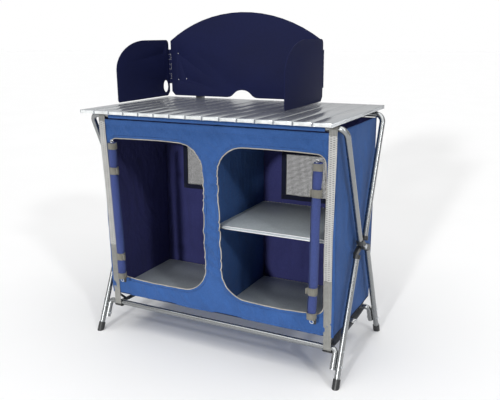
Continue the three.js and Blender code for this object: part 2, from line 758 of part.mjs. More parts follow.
// A wing's outline in Y and Z, with its rear edge at the hinge and its top front corner swept round.
function wingOutline(withHole) {
  const rear = HINGE_Y - HINGE_RADIUS - PANEL_EDGE_GAP;
  const front = SCREEN_Y - WING_LENGTH;
  const top = SCREEN_BOTTOM + WING_HEIGHT;
  const shape = new THREE.Shape();
  shape.moveTo(front + 6, SCREEN_BOTTOM);
  shape.lineTo(rear - PANEL_CHAMFER, SCREEN_BOTTOM);
  shape.lineTo(rear, SCREEN_BOTTOM + PANEL_CHAMFER);
  shape.lineTo(rear, top - WING_CORNER);
  shape.quadraticCurveTo(rear, top, rear - WING_CORNER, top);
  shape.lineTo(front + WING_CURVE_LENGTH, top);
  shape.absellipse(
    front + WING_CURVE_LENGTH,
    SCREEN_BOTTOM + WING_FRONT_HEIGHT,
    WING_CURVE_LENGTH,
    WING_HEIGHT - WING_FRONT_HEIGHT,
    Math.PI / 2,
    Math.PI,
  );
  shape.lineTo(front, SCREEN_BOTTOM + 6);
  shape.closePath();
  if (withHole) {
    const hole = new THREE.Path();
    const middle = [SCREEN_Y - HOSE_HOLE_BACK, SCREEN_BOTTOM + HOSE_HOLE_UP];
    hole.absellipse(...middle, ...HOSE_HOLE_HALF, 0, 2 * Math.PI);
    shape.holes.push(hole);
  }
  return shape;
}

// A wing outside its hinge line: `side` is -1 for the left one and +1 for the right one.
function screenWing(x, side, withHole) {
  const faces = [side * LEAF_NEAR, side * LEAF_FAR].sort((a, b) => a - b);
  const panel = sidePlate(wingOutline(withHole), x + faces[0], SCREEN_THICKNESS);
  const leaves = hingeLeaves(x, 1, [faces[0], -LEAF_REACH], [faces[1], 0]);
  const holes = withHole ? wingScrewHoles(x) : [];
  return carve([panel, ...hingeKnuckles(x, 1), ...leaves], [hingeBore(x), ...holes]);
}

function addWindscreen() {
  add('windscreen_rear', screenRear(), SCREEN_BOARD);
  add('windscreen_wing_left', screenWing(SCREEN_LEFT, -1, true), SCREEN_BOARD);
  add('windscreen_wing_right', screenWing(SCREEN_RIGHT, 1, false), SCREEN_BOARD);
  for (const [sideName, x] of [['left', SCREEN_LEFT], ['right', SCREEN_RIGHT]]) {
    const pin = hingeRod(x, HINGE_LOW, HINGE_HIGH, HINGE_PIN_RADIUS, 8);
    add(`screen_hinge_pin_${sideName}`, pin, PIN_STEEL);
  }
  // Each clip runs down behind the rear panel and hooks under the slats.
  const face = SCREEN_Y + SCREEN_THICKNESS / 2 + FIT_GAP;
  for (const [i, [sideName]] of SIDES.entries()) {
    const hook = new THREE.Shape([
      new THREE.Vector2(face + CLIP_THICKNESS, SCREEN_BOTTOM + CLIP_RISE),
      new THREE.Vector2(face, SCREEN_BOTTOM + CLIP_RISE),
      new THREE.Vector2(face, TOP_UNDERSIDE - 1),
      new THREE.Vector2(face - CLIP_HOOK, TOP_UNDERSIDE - 1),
      new THREE.Vector2(face - CLIP_HOOK, TOP_UNDERSIDE - 1 - CLIP_THICKNESS),
      new THREE.Vector2(face + CLIP_THICKNESS, TOP_UNDERSIDE - 1 - CLIP_THICKNESS),
    ]);
    add(`screen_clip_${sideName}`, sidePlate(hook, CLIP_X[i] - CLIP_WIDTH / 2, CLIP_WIDTH), BLACK_PLASTIC);
  }
}

addWorktop();
addFrame();
addCabinet();
addBoards();
addDoorRolls();
addStraps();
addWindscreen();

export default table;
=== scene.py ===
"""Looks of the camp kitchen table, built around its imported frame. Metres, +Z up, +Y to the rear."""

import json
import math

import bmesh
import bpy
import numpy as np
from mathutils import Matrix, Vector
from mathutils.geometry import delaunay_2d_cdt


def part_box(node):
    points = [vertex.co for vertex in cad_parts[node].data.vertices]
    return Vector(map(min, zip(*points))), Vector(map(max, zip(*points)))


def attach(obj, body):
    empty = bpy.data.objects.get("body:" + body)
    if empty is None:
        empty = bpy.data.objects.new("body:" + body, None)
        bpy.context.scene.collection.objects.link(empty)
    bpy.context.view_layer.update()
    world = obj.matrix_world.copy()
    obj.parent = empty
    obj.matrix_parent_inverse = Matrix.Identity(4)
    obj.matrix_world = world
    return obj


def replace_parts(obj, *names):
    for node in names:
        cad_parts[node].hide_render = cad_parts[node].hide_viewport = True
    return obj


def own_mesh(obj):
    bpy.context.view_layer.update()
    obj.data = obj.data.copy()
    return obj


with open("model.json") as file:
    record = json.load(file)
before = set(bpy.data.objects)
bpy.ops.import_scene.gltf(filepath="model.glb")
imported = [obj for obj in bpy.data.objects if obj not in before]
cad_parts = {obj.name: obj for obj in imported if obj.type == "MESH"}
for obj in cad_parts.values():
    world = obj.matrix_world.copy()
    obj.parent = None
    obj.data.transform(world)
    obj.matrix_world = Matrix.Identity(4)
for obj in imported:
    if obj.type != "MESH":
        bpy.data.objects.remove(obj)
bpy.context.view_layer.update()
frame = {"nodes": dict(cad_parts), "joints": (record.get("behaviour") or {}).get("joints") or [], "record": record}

# ------------------------------------------------------------------ places

# The frame's round tubes. Each leg's line is set off from the pivot in Y, and the tubes start
# this far from the pivot's height and end this far above the floor.
TUBE_RADIUS = 0.0095
BEND_RADIUS = 0.028
RAIL_BEND_RADIUS = 0.012
RAIL_TAIL = 0.058
UPPER_LEG_OFFSET = 0.015
LOWER_LEG_OFFSET = 0.045
LEG_START = 0.019
LEG_END = 0.008
WALL = 0.003
PLATE_GAP = 0.0003


def centre(node):
    low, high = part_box(node)
    return (low + high) / 2


PIVOT_Z = frame["joints"][0]["pos_m"][2]
LEG_X = centre("front_leg_right").x

front_low, front_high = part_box("cabinet_front")
CLOTH_LEFT = front_low.x
CLOTH_RIGHT = front_high.x
CLOTH_BOTTOM = front_low.z
CLOTH_TOP = front_high.z
DEPTH_TOP = -front_low.y - WALL / 2
DEPTH_BOTTOM = -front_high.y + WALL / 2
DIVIDER_X = centre("cabinet_divider").x

TOP_RAIL_Y = -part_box("front_top_tube")[0].y - TUBE_RADIUS
TOP_RAIL_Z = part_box("front_top_tube")[1].z - TUBE_RADIUS
LOW_RAIL_Y = -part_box("front_lower_rail")[1].y + TUBE_RADIUS
LOW_RAIL_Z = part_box("front_lower_rail")[1].z - TUBE_RADIUS
SLAT_LOW, SLAT_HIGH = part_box("slat_01")
SLAT_PITCH = centre("slat_02").x - centre("slat_01").x
SLAT_COUNT = 15
UPPER_SLOPE = (TOP_RAIL_Y - UPPER_LEG_OFFSET) / (TOP_RAIL_Z - PIVOT_Z)
LOWER_SLOPE = (LOW_RAIL_Y - LOWER_LEG_OFFSET) / (PIVOT_Z - LOW_RAIL_Z)

# The body that a tube turns with, by its face and its height.
FRAME_BODY = {
    ("front", "top"): "outer_frame",
    ("rear", "top"): "inner_frame",
    ("front", "low"): "inner_frame",
    ("rear", "low"): "outer_frame",
}

SIDES = (("left", -1), ("right", 1))
FACES = (("front", -1), ("rear", 1))

# The door openings in the front wall: their edges in X, and the corner radii at left and right.
OPENING_BOTTOM = 0.222
OPENING_TOP = 0.729
OPENINGS = {
    "left": {"edges": (-0.388, -0.016), "radii": (0.028, 0.088)},
    "right": {"edges": (0.043, 0.408), "radii": (0.088, 0.028)},
}

# The heights of the top hem's seam on the front wall and on the side walls.
HEM_SEAM_Z = 0.777
SIDE_SEAM_Z = 0.770

# The spacing of the cloth's points, and the reach of the creases between the doors.
CLOTH_STEP = 0.0085
CREASE_WIDTH = 0.048

# The front straps lean outwards by this much at the top.
STRAP_FAN = 0.009
STRAP_THICKNESS = 0.0015
STRAP_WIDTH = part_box("strap_upper_right")[1].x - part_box("strap_upper_right")[0].x


def half_depth(z):
    """How far the front and rear walls stand from the middle at a height."""
    share = (z - CLOTH_BOTTOM) / (CLOTH_TOP - CLOTH_BOTTOM)
    return DEPTH_BOTTOM + (DEPTH_TOP - DEPTH_BOTTOM) * share


# --------------------------------------------------------------- materials


class Shader:
    """A material with a Principled surface, and short calls for the nodes that feed it."""

    def __init__(self, name, roughness, metallic=0.0, sheen=0.0):
        self.material = bpy.data.materials.new(name)
        self.material.use_nodes = True
        self.nodes = self.material.node_tree.nodes
        self.links = self.material.node_tree.links
        self.surface = self.nodes["Principled BSDF"]
        self.surface.inputs["Roughness"].default_value = roughness
        self.surface.inputs["Metallic"].default_value = metallic
        self.surface.inputs["Sheen Weight"].default_value = sheen
        self.place = self.nodes.new("ShaderNodeTexCoord").outputs["Object"]

    def math(self, operation, *values):
        node = self.nodes.new("ShaderNodeMath")
        node.operation = operation
        for socket, value in zip(node.inputs, values):
            if isinstance(value, (int, float)):
                socket.default_value = value
            else:
                self.links.new(value, socket)
        return node.outputs[0]

    def total(self, *terms, start=0.0):
        """The sum of pairs of a socket and its share."""
        value = start
        for socket, share in terms:
            value = self.math("MULTIPLY_ADD", socket, share, value)
        return value

    def axes(self):
        node = self.nodes.new("ShaderNodeSeparateXYZ")
        self.links.new(self.place, node.inputs[0])
        return node.outputs

    def noise(self, scale, detail=3.0, stretch=(1, 1, 1)):
        mapping = self.nodes.new("ShaderNodeMapping")
        mapping.inputs["Scale"].default_value = stretch
        self.links.new(self.place, mapping.inputs["Vector"])
        node = self.nodes.new("ShaderNodeTexNoise")
        node.inputs["Scale"].default_value = scale
        node.inputs["Detail"].default_value = detail
        self.links.new(mapping.outputs[0], node.inputs["Vector"])
        return node.outputs["Fac"]

    def threads(self, value, pitch):
        """A wave from 0 to 1 along a length, one period per pitch."""
        wave = self.math("SINE", self.math("MULTIPLY", value, 2 * math.pi / pitch))
        return self.total((wave, 0.5), start=0.5)

    def ramp(self, value, stops):
        """Colour by a value: stops are pairs of a place and an RGB colour."""
        node = self.nodes.new("ShaderNodeValToRGB")
        elements = node.color_ramp.elements
        while len(elements) < len(stops):
            elements.new(0.5)
        for element, (position, colour) in zip(elements, stops):
            element.position = position
            element.color = (*colour, 1)
        self.links.new(value, node.inputs[0])
        return node.outputs[0]

    def colour(self, socket):
        self.links.new(socket, self.surface.inputs["Base Color"])

    def roughness(self, socket):
        self.links.new(socket, self.surface.inputs["Roughness"])

    def bump(self, heights):
        """Bumps from pairs of a height socket and its depth in metres, one on the other."""
        normal = None
        for height, depth in heights:
            node = self.nodes.new("ShaderNodeBump")
            node.inputs["Distance"].default_value = depth
            self.links.new(height, node.inputs["Height"])
            if normal is not None:
                self.links.new(normal, node.inputs["Normal"])
            normal = node.outputs[0]
        self.links.new(normal, self.surface.inputs["Normal"])


def tint(colour, factor):
    """A lighter or darker version of a colour."""
    return tuple(min(1.0, value * factor) for value in colour)


def woven_cloth(name, colour, roughness=0.82, sheen=0.06, contrast=1.0):
    """Coated plain-weave cloth: threads, slubs and broad uneven fading."""
    shader = Shader(name, roughness, sheen=sheen)
    shader.surface.inputs["Sheen Roughness"].default_value = 0.45
    shader.surface.inputs["Specular IOR Level"].default_value = 0.15
    x, y, z = shader.axes()
    across = shader.threads(shader.math("ADD", x, y), 0.0011)
    along = shader.threads(z, 0.0011)
    weave = shader.math("MULTIPLY", across, along)
    fade = shader.noise(7.0, 4.0)
    slub = shader.noise(420.0, 2.0, (1.0, 1.0, 0.35))
    warp = shader.noise(420.0, 2.0, (0.35, 0.35, 1.0))
    thread = shader.math("ADD", slub, warp)
    tone = shader.total((fade, 0.5 * contrast), (thread, 0.32), (weave, 0.12))
    shader.colour(shader.ramp(tone, [(0.25, tint(colour, 0.66)), (0.6, colour), (1.0, tint(colour, 1.4))]))
    creases = shader.noise(26.0, 5.0, (1.0, 1.0, 0.6))
    shader.bump([(weave, 0.0003), (thread, 0.0008), (creases, 0.0075)])
    return shader.material


def brushed_metal(name, colour, roughness, grain, depth, metallic=1.0):
    """Satin metal with fine lines along the longer side that grain gives."""
    shader = Shader(name, roughness, metallic=metallic)
    lines = shader.noise(900.0, 2.0, grain)
    clouds = shader.noise(5.0, 2.0)
    tone = shader.total((lines, 0.4), (clouds, 0.6))
    shader.colour(shader.ramp(tone, [(0.3, tint(colour, 0.9)), (0.55, colour), (0.8, tint(colour, 1.06))]))
    shader.roughness(shader.total((lines, 0.08), start=roughness - 0.04))
    shader.bump([(lines, depth)])
    return shader.material


def moulded_plastic(name, colour, roughness):
    """Plastic with a fine spark-eroded grain and an uneven shine."""
    shader = Shader(name, roughness)
    grain = shader.noise(1400.0, 2.0)
    clouds = shader.noise(30.0, 3.0)
    tone = shader.total((grain, 0.4), (clouds, 0.6))
    shader.colour(shader.ramp(tone, [(0.35, tint(colour, 0.75)), (0.65, tint(colour, 1.3))]))
    shader.roughness(shader.total((clouds, 0.2), start=roughness - 0.1))
    shader.bump([(grain, 0.00012)])
    return shader.material


def braided_cord(name, colour):
    """Elastic cord with the crossing pattern of its braid."""
    shader = Shader(name, 0.8)
    x, _, z = shader.axes()
    braid = shader.threads(shader.total((x, 1.0), (z, 2.0)), 0.002)
    shader.colour(shader.ramp(braid, [(0.1, tint(colour, 0.5)), (0.9, tint(colour, 1.8))]))
    shader.bump([(braid, 0.0003)])
    return shader.material


def strap_webbing(name, colour, pitch, slant, contrast):
    """Woven strap: ribs along its length that lean across it, with lighter knuckles."""
    shader = Shader(name, 0.82, sheen=0.2)
    x, y, z = shader.axes()
    ribs = shader.threads(shader.total((z, 1.0), (y, 1.0), (x, slant)), pitch)
    counter = shader.threads(shader.total((z, 1.0), (y, 1.0), (x, -slant)), pitch)
    cross = shader.total((shader.threads(x, 0.0044), 0.4), start=0.6)
    knuckles = shader.math("MULTIPLY", shader.math("MAXIMUM", ribs, counter), cross)
    wear = shader.noise(45.0, 4.0)
    fibre = shader.noise(900.0, 2.0)
    tone = shader.total((knuckles, contrast), (wear, 0.3), (fibre, 0.2))
    shader.colour(shader.ramp(tone, [(0.2, tint(colour, 0.5)), (0.55, colour), (0.95, tint(colour, 1.9))]))
    shader.bump([(knuckles, 0.0012), (fibre, 0.0002)])
    return shader.material


def coated_board(name, colour, roughness, shine=0.5):
    """Stiff sheet with a fine linen-like grain and slow changes of tone."""
    shader = Shader(name, roughness)
    shader.surface.inputs["Specular IOR Level"].default_value = shine
    across = shader.noise(520.0, 2.0, (1.0, 1.0, 0.3))
    along = shader.noise(520.0, 2.0, (0.3, 0.3, 1.0))
    grain = shader.math("ADD", across, along)
    clouds = shader.noise(6.0, 4.0)
    tone = shader.total((grain, 0.28), (clouds, 0.44))
    shader.colour(shader.ramp(tone, [(0.3, tint(colour, 0.72)), (0.5, colour), (0.72, tint(colour, 1.3))]))
    shader.roughness(shader.total((clouds, 0.16), start=roughness - 0.08))
    shader.bump([(grain, 0.0002)])
    return shader.material


SLAT_METAL = (0.60, 0.625, 0.65)
TUBE_METAL = (0.29, 0.30, 0.305)
BLUE = (0.036, 0.100, 0.290)
NAVY = (0.038, 0.041, 0.145)
VIOLET = (0.048, 0.070, 0.215)

# The materials of the record's slots, then those of the trims.
MATERIALS = {
    "slat_aluminium": brushed_metal("slat_aluminium", SLAT_METAL, 0.24, (1, 0.05, 1), 0.000004, 0.86),
    "tube_aluminium": brushed_metal("tube_aluminium", TUBE_METAL, 0.27, (1, 0.3, 0.08), 0.000006),
    "pin_steel": brushed_metal("pin_steel", (0.5, 0.52, 0.54), 0.36, (1.0, 1.0, 1.0), 0.00001),
    "black_plastic": moulded_plastic("black_plastic", (0.012, 0.013, 0.014), 0.42),
    "grey_plastic": moulded_plastic("grey_plastic", (0.020, 0.023, 0.026), 0.40),
    "elastic": braided_cord("elastic", (0.02, 0.02, 0.022)),
    "blue_cloth": woven_cloth("blue_cloth", BLUE),
    "navy_cloth": woven_cloth("navy_cloth", NAVY, 0.85, 0.03),
    "violet_cloth": woven_cloth("violet_cloth", VIOLET, 0.75, 0.05, 0.7),
    "mesh_cloth": strap_webbing("mesh_cloth", (0.035, 0.035, 0.038), 0.0035, 0.0, 0.3),
    "webbing": strap_webbing("webbing", (0.27, 0.27, 0.262), 0.0066, 0.35, 0.95),
    "board": coated_board("board", (0.40, 0.44, 0.46), 0.5, 0.3),
    "screen_board": coated_board("screen_board", (0.0050, 0.0072, 0.036), 0.7, 0.12),
}
PLAIN_WEBBING = strap_webbing("plain_webbing", (0.26, 0.26, 0.245), 0.0030, 0.3, 0.45)
DARK_WEBBING = strap_webbing("dark_webbing", (0.055, 0.06, 0.065), 0.0021, 0.2, 0.35)
KHAKI_TAPE = strap_webbing("khaki_tape", (0.25, 0.24, 0.20), 0.0022, 0.0, 0.3)
BINDING = woven_cloth("dark_binding", (0.008, 0.010, 0.026), 0.8, 0.1)
THREAD = woven_cloth("light_thread", (0.62, 0.62, 0.60), 0.7, 0.2)
BLUE_THREAD = woven_cloth("blue_thread", (0.030, 0.066, 0.19), 0.7, 0.2)
ZIP_COIL = moulded_plastic("zip_coil", (0.36, 0.34, 0.30), 0.4)
WHITE_PLASTIC = moulded_plastic("white_plastic", (0.62, 0.64, 0.64), 0.38)
EDGE_METAL = brushed_metal("edge_metal", (0.82, 0.83, 0.84), 0.3, (0.05, 1.0, 1.0), 0.00001)


def finish_cad_nodes():
    """Every CAD node takes its slot's material, and smooth shading across its shallow facets."""
    for part in frame["record"]["subparts"]:
        mesh = frame["nodes"][part["node"]].data
        mesh.materials.clear()
        mesh.materials.append(MATERIALS[part["material_slot"]])
        mesh.polygons.foreach_set("use_smooth", [True] * len(mesh.polygons))
        mesh.set_sharp_from_angle(angle=math.radians(35))


def soften(node, width):
    """Rounds a CAD node's sharp edges with modifiers, leaving its mesh as it is."""
    obj = frame["nodes"][node]
    weld = obj.modifiers.new("weld", "WELD")
    weld.merge_threshold = 0.00002
    bevel = obj.modifiers.new("bevel", "BEVEL")
    bevel.width = width
    bevel.segments = 2
    bevel.limit_method = "ANGLE"
    bevel.angle_limit = math.radians(40)


def mould(node, voxel):
    """Gives a CAD node the rounded edges and fillets of a moulding, with modifiers."""
    obj = frame["nodes"][node]
    remesh = obj.modifiers.new("remesh", "REMESH")
    remesh.mode = "VOXEL"
    remesh.voxel_size = voxel
    remesh.use_smooth_shade = True
    smooth = obj.modifiers.new("smooth", "SMOOTH")
    smooth.iterations = 5


# ----------------------------------------------------------------- shapes
# A shape is a pair: an array of points and a list of faces.


def space(x, y, z):
    """Points in space from their coordinates. A single value holds for all of them."""
    return np.stack(np.broadcast_arrays(x, y, z), -1).astype(float)


def merge(shapes):
    """One shape from several."""
    points, faces, start = [], [], 0
    for shape_points, shape_faces in shapes:
        points.append(np.asarray(shape_points, float))
        faces += [[i + start for i in face] for face in shape_faces]
        start += len(shape_points)
    return np.concatenate(points), faces


def piece(name, shapes, material, body, sharp=None, facing=None):
    """One object from a list of shapes, riding on a body. facing is the side an open sheet shows."""
    points, faces = merge(shapes)
    mesh = bpy.data.meshes.new(name)
    mesh.from_pydata(points.tolist(), [], faces)
    work = bmesh.new()
    work.from_mesh(mesh)
    bmesh.ops.recalc_face_normals(work, faces=work.faces)
    if facing and sum((face.normal for face in work.faces), Vector()).dot(facing) < 0:
        bmesh.ops.reverse_faces(work, faces=work.faces)
    work.to_mesh(mesh)
    work.free()
    mesh.polygons.foreach_set("use_smooth", [True] * len(mesh.polygons))
    if sharp:
        mesh.set_sharp_from_angle(angle=math.radians(sharp))
    mesh.materials.append(material)
    obj = bpy.data.objects.new(name, mesh)
    bpy.context.scene.collection.objects.link(obj)
    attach(obj, body)
    return obj


def folds(obj):
    """Gives a piece of the cupboard's cloth a mesh of its own."""
    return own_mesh(obj)


def trim(name, shapes, material):
    """A piece that is sewn to the cupboard's cloth, with a mesh of its own."""
    return folds(piece(name, shapes, material, "cabinet"))


def thicken(obj, thickness, lining=None):
    """Gives an open sheet its thickness, and its back another material."""
    solid = obj.modifiers.new("thickness", "SOLIDIFY")
    solid.thickness = thickness
    solid.offset = 0
    if lining:
        obj.data.materials.append(lining)
        solid.material_offset = 1
    return obj


def loft(rings, closed=False, capped=True):
    """Skin over rings of points. closed joins the last ring to the first."""
    rings = np.asarray(rings, float)
    index = np.arange(rings.shape[0] * rings.shape[1]).reshape(rings.shape[:2])
    here = index if closed else index[:-1]
    after = np.roll(index, -1, axis=0) if closed else index[1:]
    quads = np.stack([here, np.roll(here, -1, 1), np.roll(after, -1, 1), after], -1)
    faces = quads.reshape(-1, 4).tolist()
    if capped and not closed:
        faces += [index[0, ::-1].tolist(), index[-1].tolist()]
    return rings.reshape(-1, 3), faces


def grid(points):
    """An open sheet over rows of points."""
    points = np.asarray(points, float)
    index = np.arange(points.shape[0] * points.shape[1]).reshape(points.shape[:2])
    quads = np.stack([index[:-1, :-1], index[:-1, 1:], index[1:, 1:], index[1:, :-1]], -1)
    return points.reshape(-1, 3), quads.reshape(-1, 4).tolist()


def spaced(line, step):
    """A line's points again, evenly spaced about step apart."""
    line = np.asarray(line, float)
    lengths = np.linalg.norm(np.diff(line, axis=0), axis=1)
    along = np.concatenate([[0], np.cumsum(lengths)])
    at = np.linspace(0, along[-1], max(2, math.ceil(along[-1] / step) + 1))
    return np.stack([np.interp(at, along, line[:, k]) for k in range(line.shape[1])], axis=1)


def rounded(corners, radius, steps=10):
    """The corner list with each inner corner turned into an arc."""
    corners = [Vector(corner) for corner in corners]
    points = [corners[0]]
    for before, corner, after in zip(corners, corners[1:], corners[2:]):
        back = (before - corner).normalized()
        ahead = (after - corner).normalized()
        half = back.angle(ahead) / 2
        middle = corner + (back + ahead).normalized() * (radius / math.sin(half))
        arm = corner + back * (radius / math.tan(half)) - middle
        axis = ahead.cross(back).normalized()
        turn = math.pi - 2 * half
        points += [middle + Matrix.Rotation(turn * k / steps, 3, axis) @ arm for k in range(steps + 1)]
    return np.array([*points, corners[-1]])


def tangents(line, closed=False):
    """The direction of a line at each of its points."""
    if closed:
        steps = np.roll(line, -1, 0) - np.roll(line, 1, 0)
    else:
        steps = np.gradient(line, axis=0)
    return steps / np.linalg.norm(steps, axis=1, keepdims=True)


def tube(line, radius, sides=24, closed=False, capped=True):
    """A round tube along a line. radius is one value, or one for each point."""
    line = np.asarray(line, float)
    along = tangents(line, closed)
    side = np.cross(along[0], (0.31, 0.9, 0.29))
    radii = np.broadcast_to(radius, len(line))
    angles = np.linspace(0, 2 * math.pi, sides, endpoint=False)
    rings = []
    for here, forward, size in zip(line, along, radii):
        side = side - forward * np.dot(side, forward)
        side /= np.linalg.norm(side)
        other = np.cross(forward, side)
        rings.append(here + size * (np.cos(angles)[:, None] * side + np.sin(angles)[:, None] * other))
    return loft(rings, closed, capped)


def band(line, across, width, thickness, ribs=0.0, rib_pitch=0.005):
    """A flat strap along a line, with rounded edges and woven ribs."""
    line = np.asarray(line, float)
    across = np.asarray(across, float)
    along = tangents(line)
    outward = np.cross(along, across)
    outward /= np.linalg.norm(outward, axis=1, keepdims=True)
    shares = np.concatenate([np.linspace(-1, 1, 9), np.linspace(1, -1, 9)[1:-1]])
    faces_up = np.concatenate([[0.0], np.ones(7), [0.0], -np.ones(7)])
    distance = np.concatenate([[0], np.cumsum(np.linalg.norm(np.diff(line, axis=0), axis=1))])
    rings = []
    for here, out, s in zip(line, outward, distance):
        lift = 0.5 * thickness * faces_up
        lift = lift + ribs * np.sin(2 * math.pi * s / rib_pitch + 5 * shares) * faces_up
        rings.append(here + np.outer(shares * width / 2, across) + np.outer(lift, out))
    return loft(rings)


def blob(middle, size, sides=16, rings=10, power=2.6):
    """A closed rounded block, between a box and an ellipsoid."""

    def curve(value):
        return np.sign(value) * np.abs(value) ** (2 / power)

    tall = np.linspace(-math.pi / 2 + 0.02, math.pi / 2 - 0.02, rings)
    wide = np.linspace(0, 2 * math.pi, sides, endpoint=False)
    layers = []
    for a in tall:
        reach = curve(np.cos(a))
        layer = space(reach * curve(np.cos(wide)), reach * curve(np.sin(wide)), curve(np.sin(a)))
        layers.append(np.asarray(middle) + layer * np.asarray(size) / 2)
    return loft(layers)


def torus(middle, normal, radius, thickness, sides=28):
    """A ring of round wire, whose axis is the normal."""
    normal = Vector(normal).normalized()
    first = normal.orthogonal().normalized()
    second = normal.cross(first)
    angles = np.linspace(0, 2 * math.pi, sides, endpoint=False)
    line = [Vector(middle) + radius * (math.cos(a) * first + math.sin(a) * second) for a in angles]
    return tube(np.array(line), thickness, 10, closed=True)


def stitches(line, pitch=0.0046, length=0.0032, radius=0.00045):
    """Short spindles of thread laid along a line."""
    line = spaced(line, pitch)
    along = tangents(line)
    shapes = []
    for here, forward in zip(line, along):
        side = np.cross(forward, (0.3, 0.5, 0.8))
        side /= np.linalg.norm(side)
        other = np.cross(forward, side)
        ring = [here + radius * (math.cos(a) * side + math.sin(a) * other)
                for a in np.linspace(0, 2 * math.pi, 5, endpoint=False)]
        points = np.array([here - forward * length / 2, *ring, here + forward * length / 2])
        faces = [[0, 1 + i, 1 + (i + 1) % 5] for i in range(5)]
        faces += [[6, 1 + (i + 1) % 5, 1 + i] for i in range(5)]
        shapes.append((points, faces))
    return merge(shapes)


def billow(u, v, scale, phase=0.0):
    """A smooth uneven swell between about -1 and 1, from a few crossing waves."""
    first = np.sin(2.1 * u / scale + phase) * np.cos(1.7 * v / scale - 0.7 * phase)
    second = np.sin((1.3 * u - 2.3 * v) / scale + 1.9 * phase + 1.0)
    third = np.cos((2.9 * u + 1.1 * v) / scale + 0.4)
    return (first + 0.7 * second + 0.5 * third) / 2.2


def ridge(t):
    """Narrow folds, one for each whole step of t."""
    return (1 - np.abs(np.sin(math.pi * t))) ** 2


def inside(points, loop):
    """Which flat points lie inside a closed outline."""
    x, y = points[:, 0], points[:, 1]
    start, end = loop[:, :, None], np.roll(loop, -1, axis=0)[:, :, None]
    crosses = (start[:, 1] > y) != (end[:, 1] > y)
    rise = np.where(end[:, 1] == start[:, 1], 1.0, end[:, 1] - start[:, 1])
    at = (end[:, 0] - start[:, 0]) * (y - start[:, 1]) / rise + start[:, 0]
    return (crosses & (x < at)).sum(0) % 2 == 1


def closed_loop(corners, step):
    """A closed outline's points, with every straight side cut into short steps."""
    corners = np.asarray(corners, float)
    sides = [spaced([a, b], step)[:-1] for a, b in zip(corners, np.roll(corners, -1, axis=0))]
    return np.concatenate(sides)


def cut_cloth(outline, holes, step, place):
    """An open sheet cut to an outline with holes. place turns flat points into points in space."""
    loops = [np.asarray(loop, float) for loop in [outline, *holes]]
    low, high = loops[0].min(0), loops[0].max(0)
    columns = np.arange(low[0] + step / 2, high[0], step)
    rows = np.arange(low[1] + step / 2, high[1], step)
    filling = np.stack(np.meshgrid(columns, rows), -1).reshape(-1, 2)
    keep = inside(filling, loops[0])
    for loop in loops[1:]:
        keep &= ~inside(filling, loop)
    filling = filling[keep]
    edge_points = np.concatenate(loops)
    near = np.array([np.min(np.abs(edge_points - p).max(axis=1)) for p in filling])
    filling = filling[near > 0.45 * step]
    edges, start = [], 0
    for loop in loops:
        edges += [(start + i, start + (i + 1) % len(loop)) for i in range(len(loop))]
        start += len(loop)
    flat = [Vector(p) for p in np.concatenate([edge_points, filling])]
    points, _, faces, *_ = delaunay_2d_cdt(flat, edges, [], 0, 1e-7)
    points = np.array([tuple(p) for p in points])
    faces = np.array(faces)
    middles = points[faces].mean(axis=1)
    keep = inside(middles, loops[0])
    for loop in loops[1:]:
        keep &= ~inside(middles, loop)
    return place(points[:, 0], points[:, 1]), faces[keep].tolist()


# ------------------------------------------------------------------- frame


def upper_leg(side, face, z):
    """A point on the line of a leg above the pivot."""
    return (side * LEG_X, face * (UPPER_LEG_OFFSET + (z - PIVOT_Z) * UPPER_SLOPE), z)


def lower_leg(side, face, z):
    """A point on the line of a leg below the pivot."""
    return (side * LEG_X, face * (LOWER_LEG_OFFSET + (PIVOT_Z - z) * LOWER_SLOPE), z)


def round_tube(name, line, body, node):
    """A round aluminium tube along a line, in place of a faceted CAD node."""
    shape = tube(line, TUBE_RADIUS, 32)
    material = MATERIALS["tube_aluminium"]
    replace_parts(piece(name, [shape], material, body, sharp=50), node)


def make_tubes():
    """Round tubes in place of the frame's faceted ones, with rivets at the lower rails' ends."""
    rail_x = LEG_X - 2 * TUBE_RADIUS - PLATE_GAP
    leg_top = PIVOT_Z + LEG_START
    tail = LOW_RAIL_Z - RAIL_TAIL
    for face_name, face in FACES:
        body = FRAME_BODY[face_name, "top"]
        corners = [
            upper_leg(-1, face, leg_top),
            (-LEG_X, face * TOP_RAIL_Y, TOP_RAIL_Z),
            (LEG_X, face * TOP_RAIL_Y, TOP_RAIL_Z),
            upper_leg(1, face, leg_top),
        ]
        line = rounded(corners, BEND_RADIUS, 14)
        round_tube(f"{face_name}_top_tube_bent", line, body, f"{face_name}_top_tube")
        body = FRAME_BODY[face_name, "low"]
        corners = [
            (-rail_x, lower_leg(-1, face, tail)[1], tail),
            (-rail_x, face * LOW_RAIL_Y, LOW_RAIL_Z),
            (rail_x, face * LOW_RAIL_Y, LOW_RAIL_Z),
            (rail_x, lower_leg(1, face, tail)[1], tail),
        ]
        line = rounded(corners, RAIL_BEND_RADIUS, 10)
        round_tube(f"{face_name}_lower_rail_bent", line, body, f"{face_name}_lower_rail")
        for side_name, side in SIDES:
            ends = [lower_leg(side, face, PIVOT_Z - LEG_START), lower_leg(side, face, LEG_END)]
            leg = f"{face_name}_leg_{side_name}"
            round_tube(f"{face_name}_leg_tube_{side_name}", ends, body, leg)
            make_rivets(face_name, face, side_name, side, body)


def make_rivets(face_name, face, side_name, side, body):
    """Domed rivet heads on both sides of a leg and the rail end beside it."""
    heads = []
    for z in (LOW_RAIL_Z - 0.003, LOW_RAIL_Z - RAIL_TAIL + 0.012):
        _, y, _ = lower_leg(side, face, z)
        outer = side * (LEG_X + TUBE_RADIUS)
        inner = side * (LEG_X - 3 * TUBE_RADIUS)
        for x in (outer, inner):
            heads.append(blob((x, y, z), (0.0044, 0.010, 0.010), power=2.2))
            heads.append(torus((x - 0.0002 * side, y, z), (1, 0, 0), 0.0050, 0.0006))
    piece(f"{face_name}_rivets_{side_name}", heads, MATERIALS["pin_steel"], body)


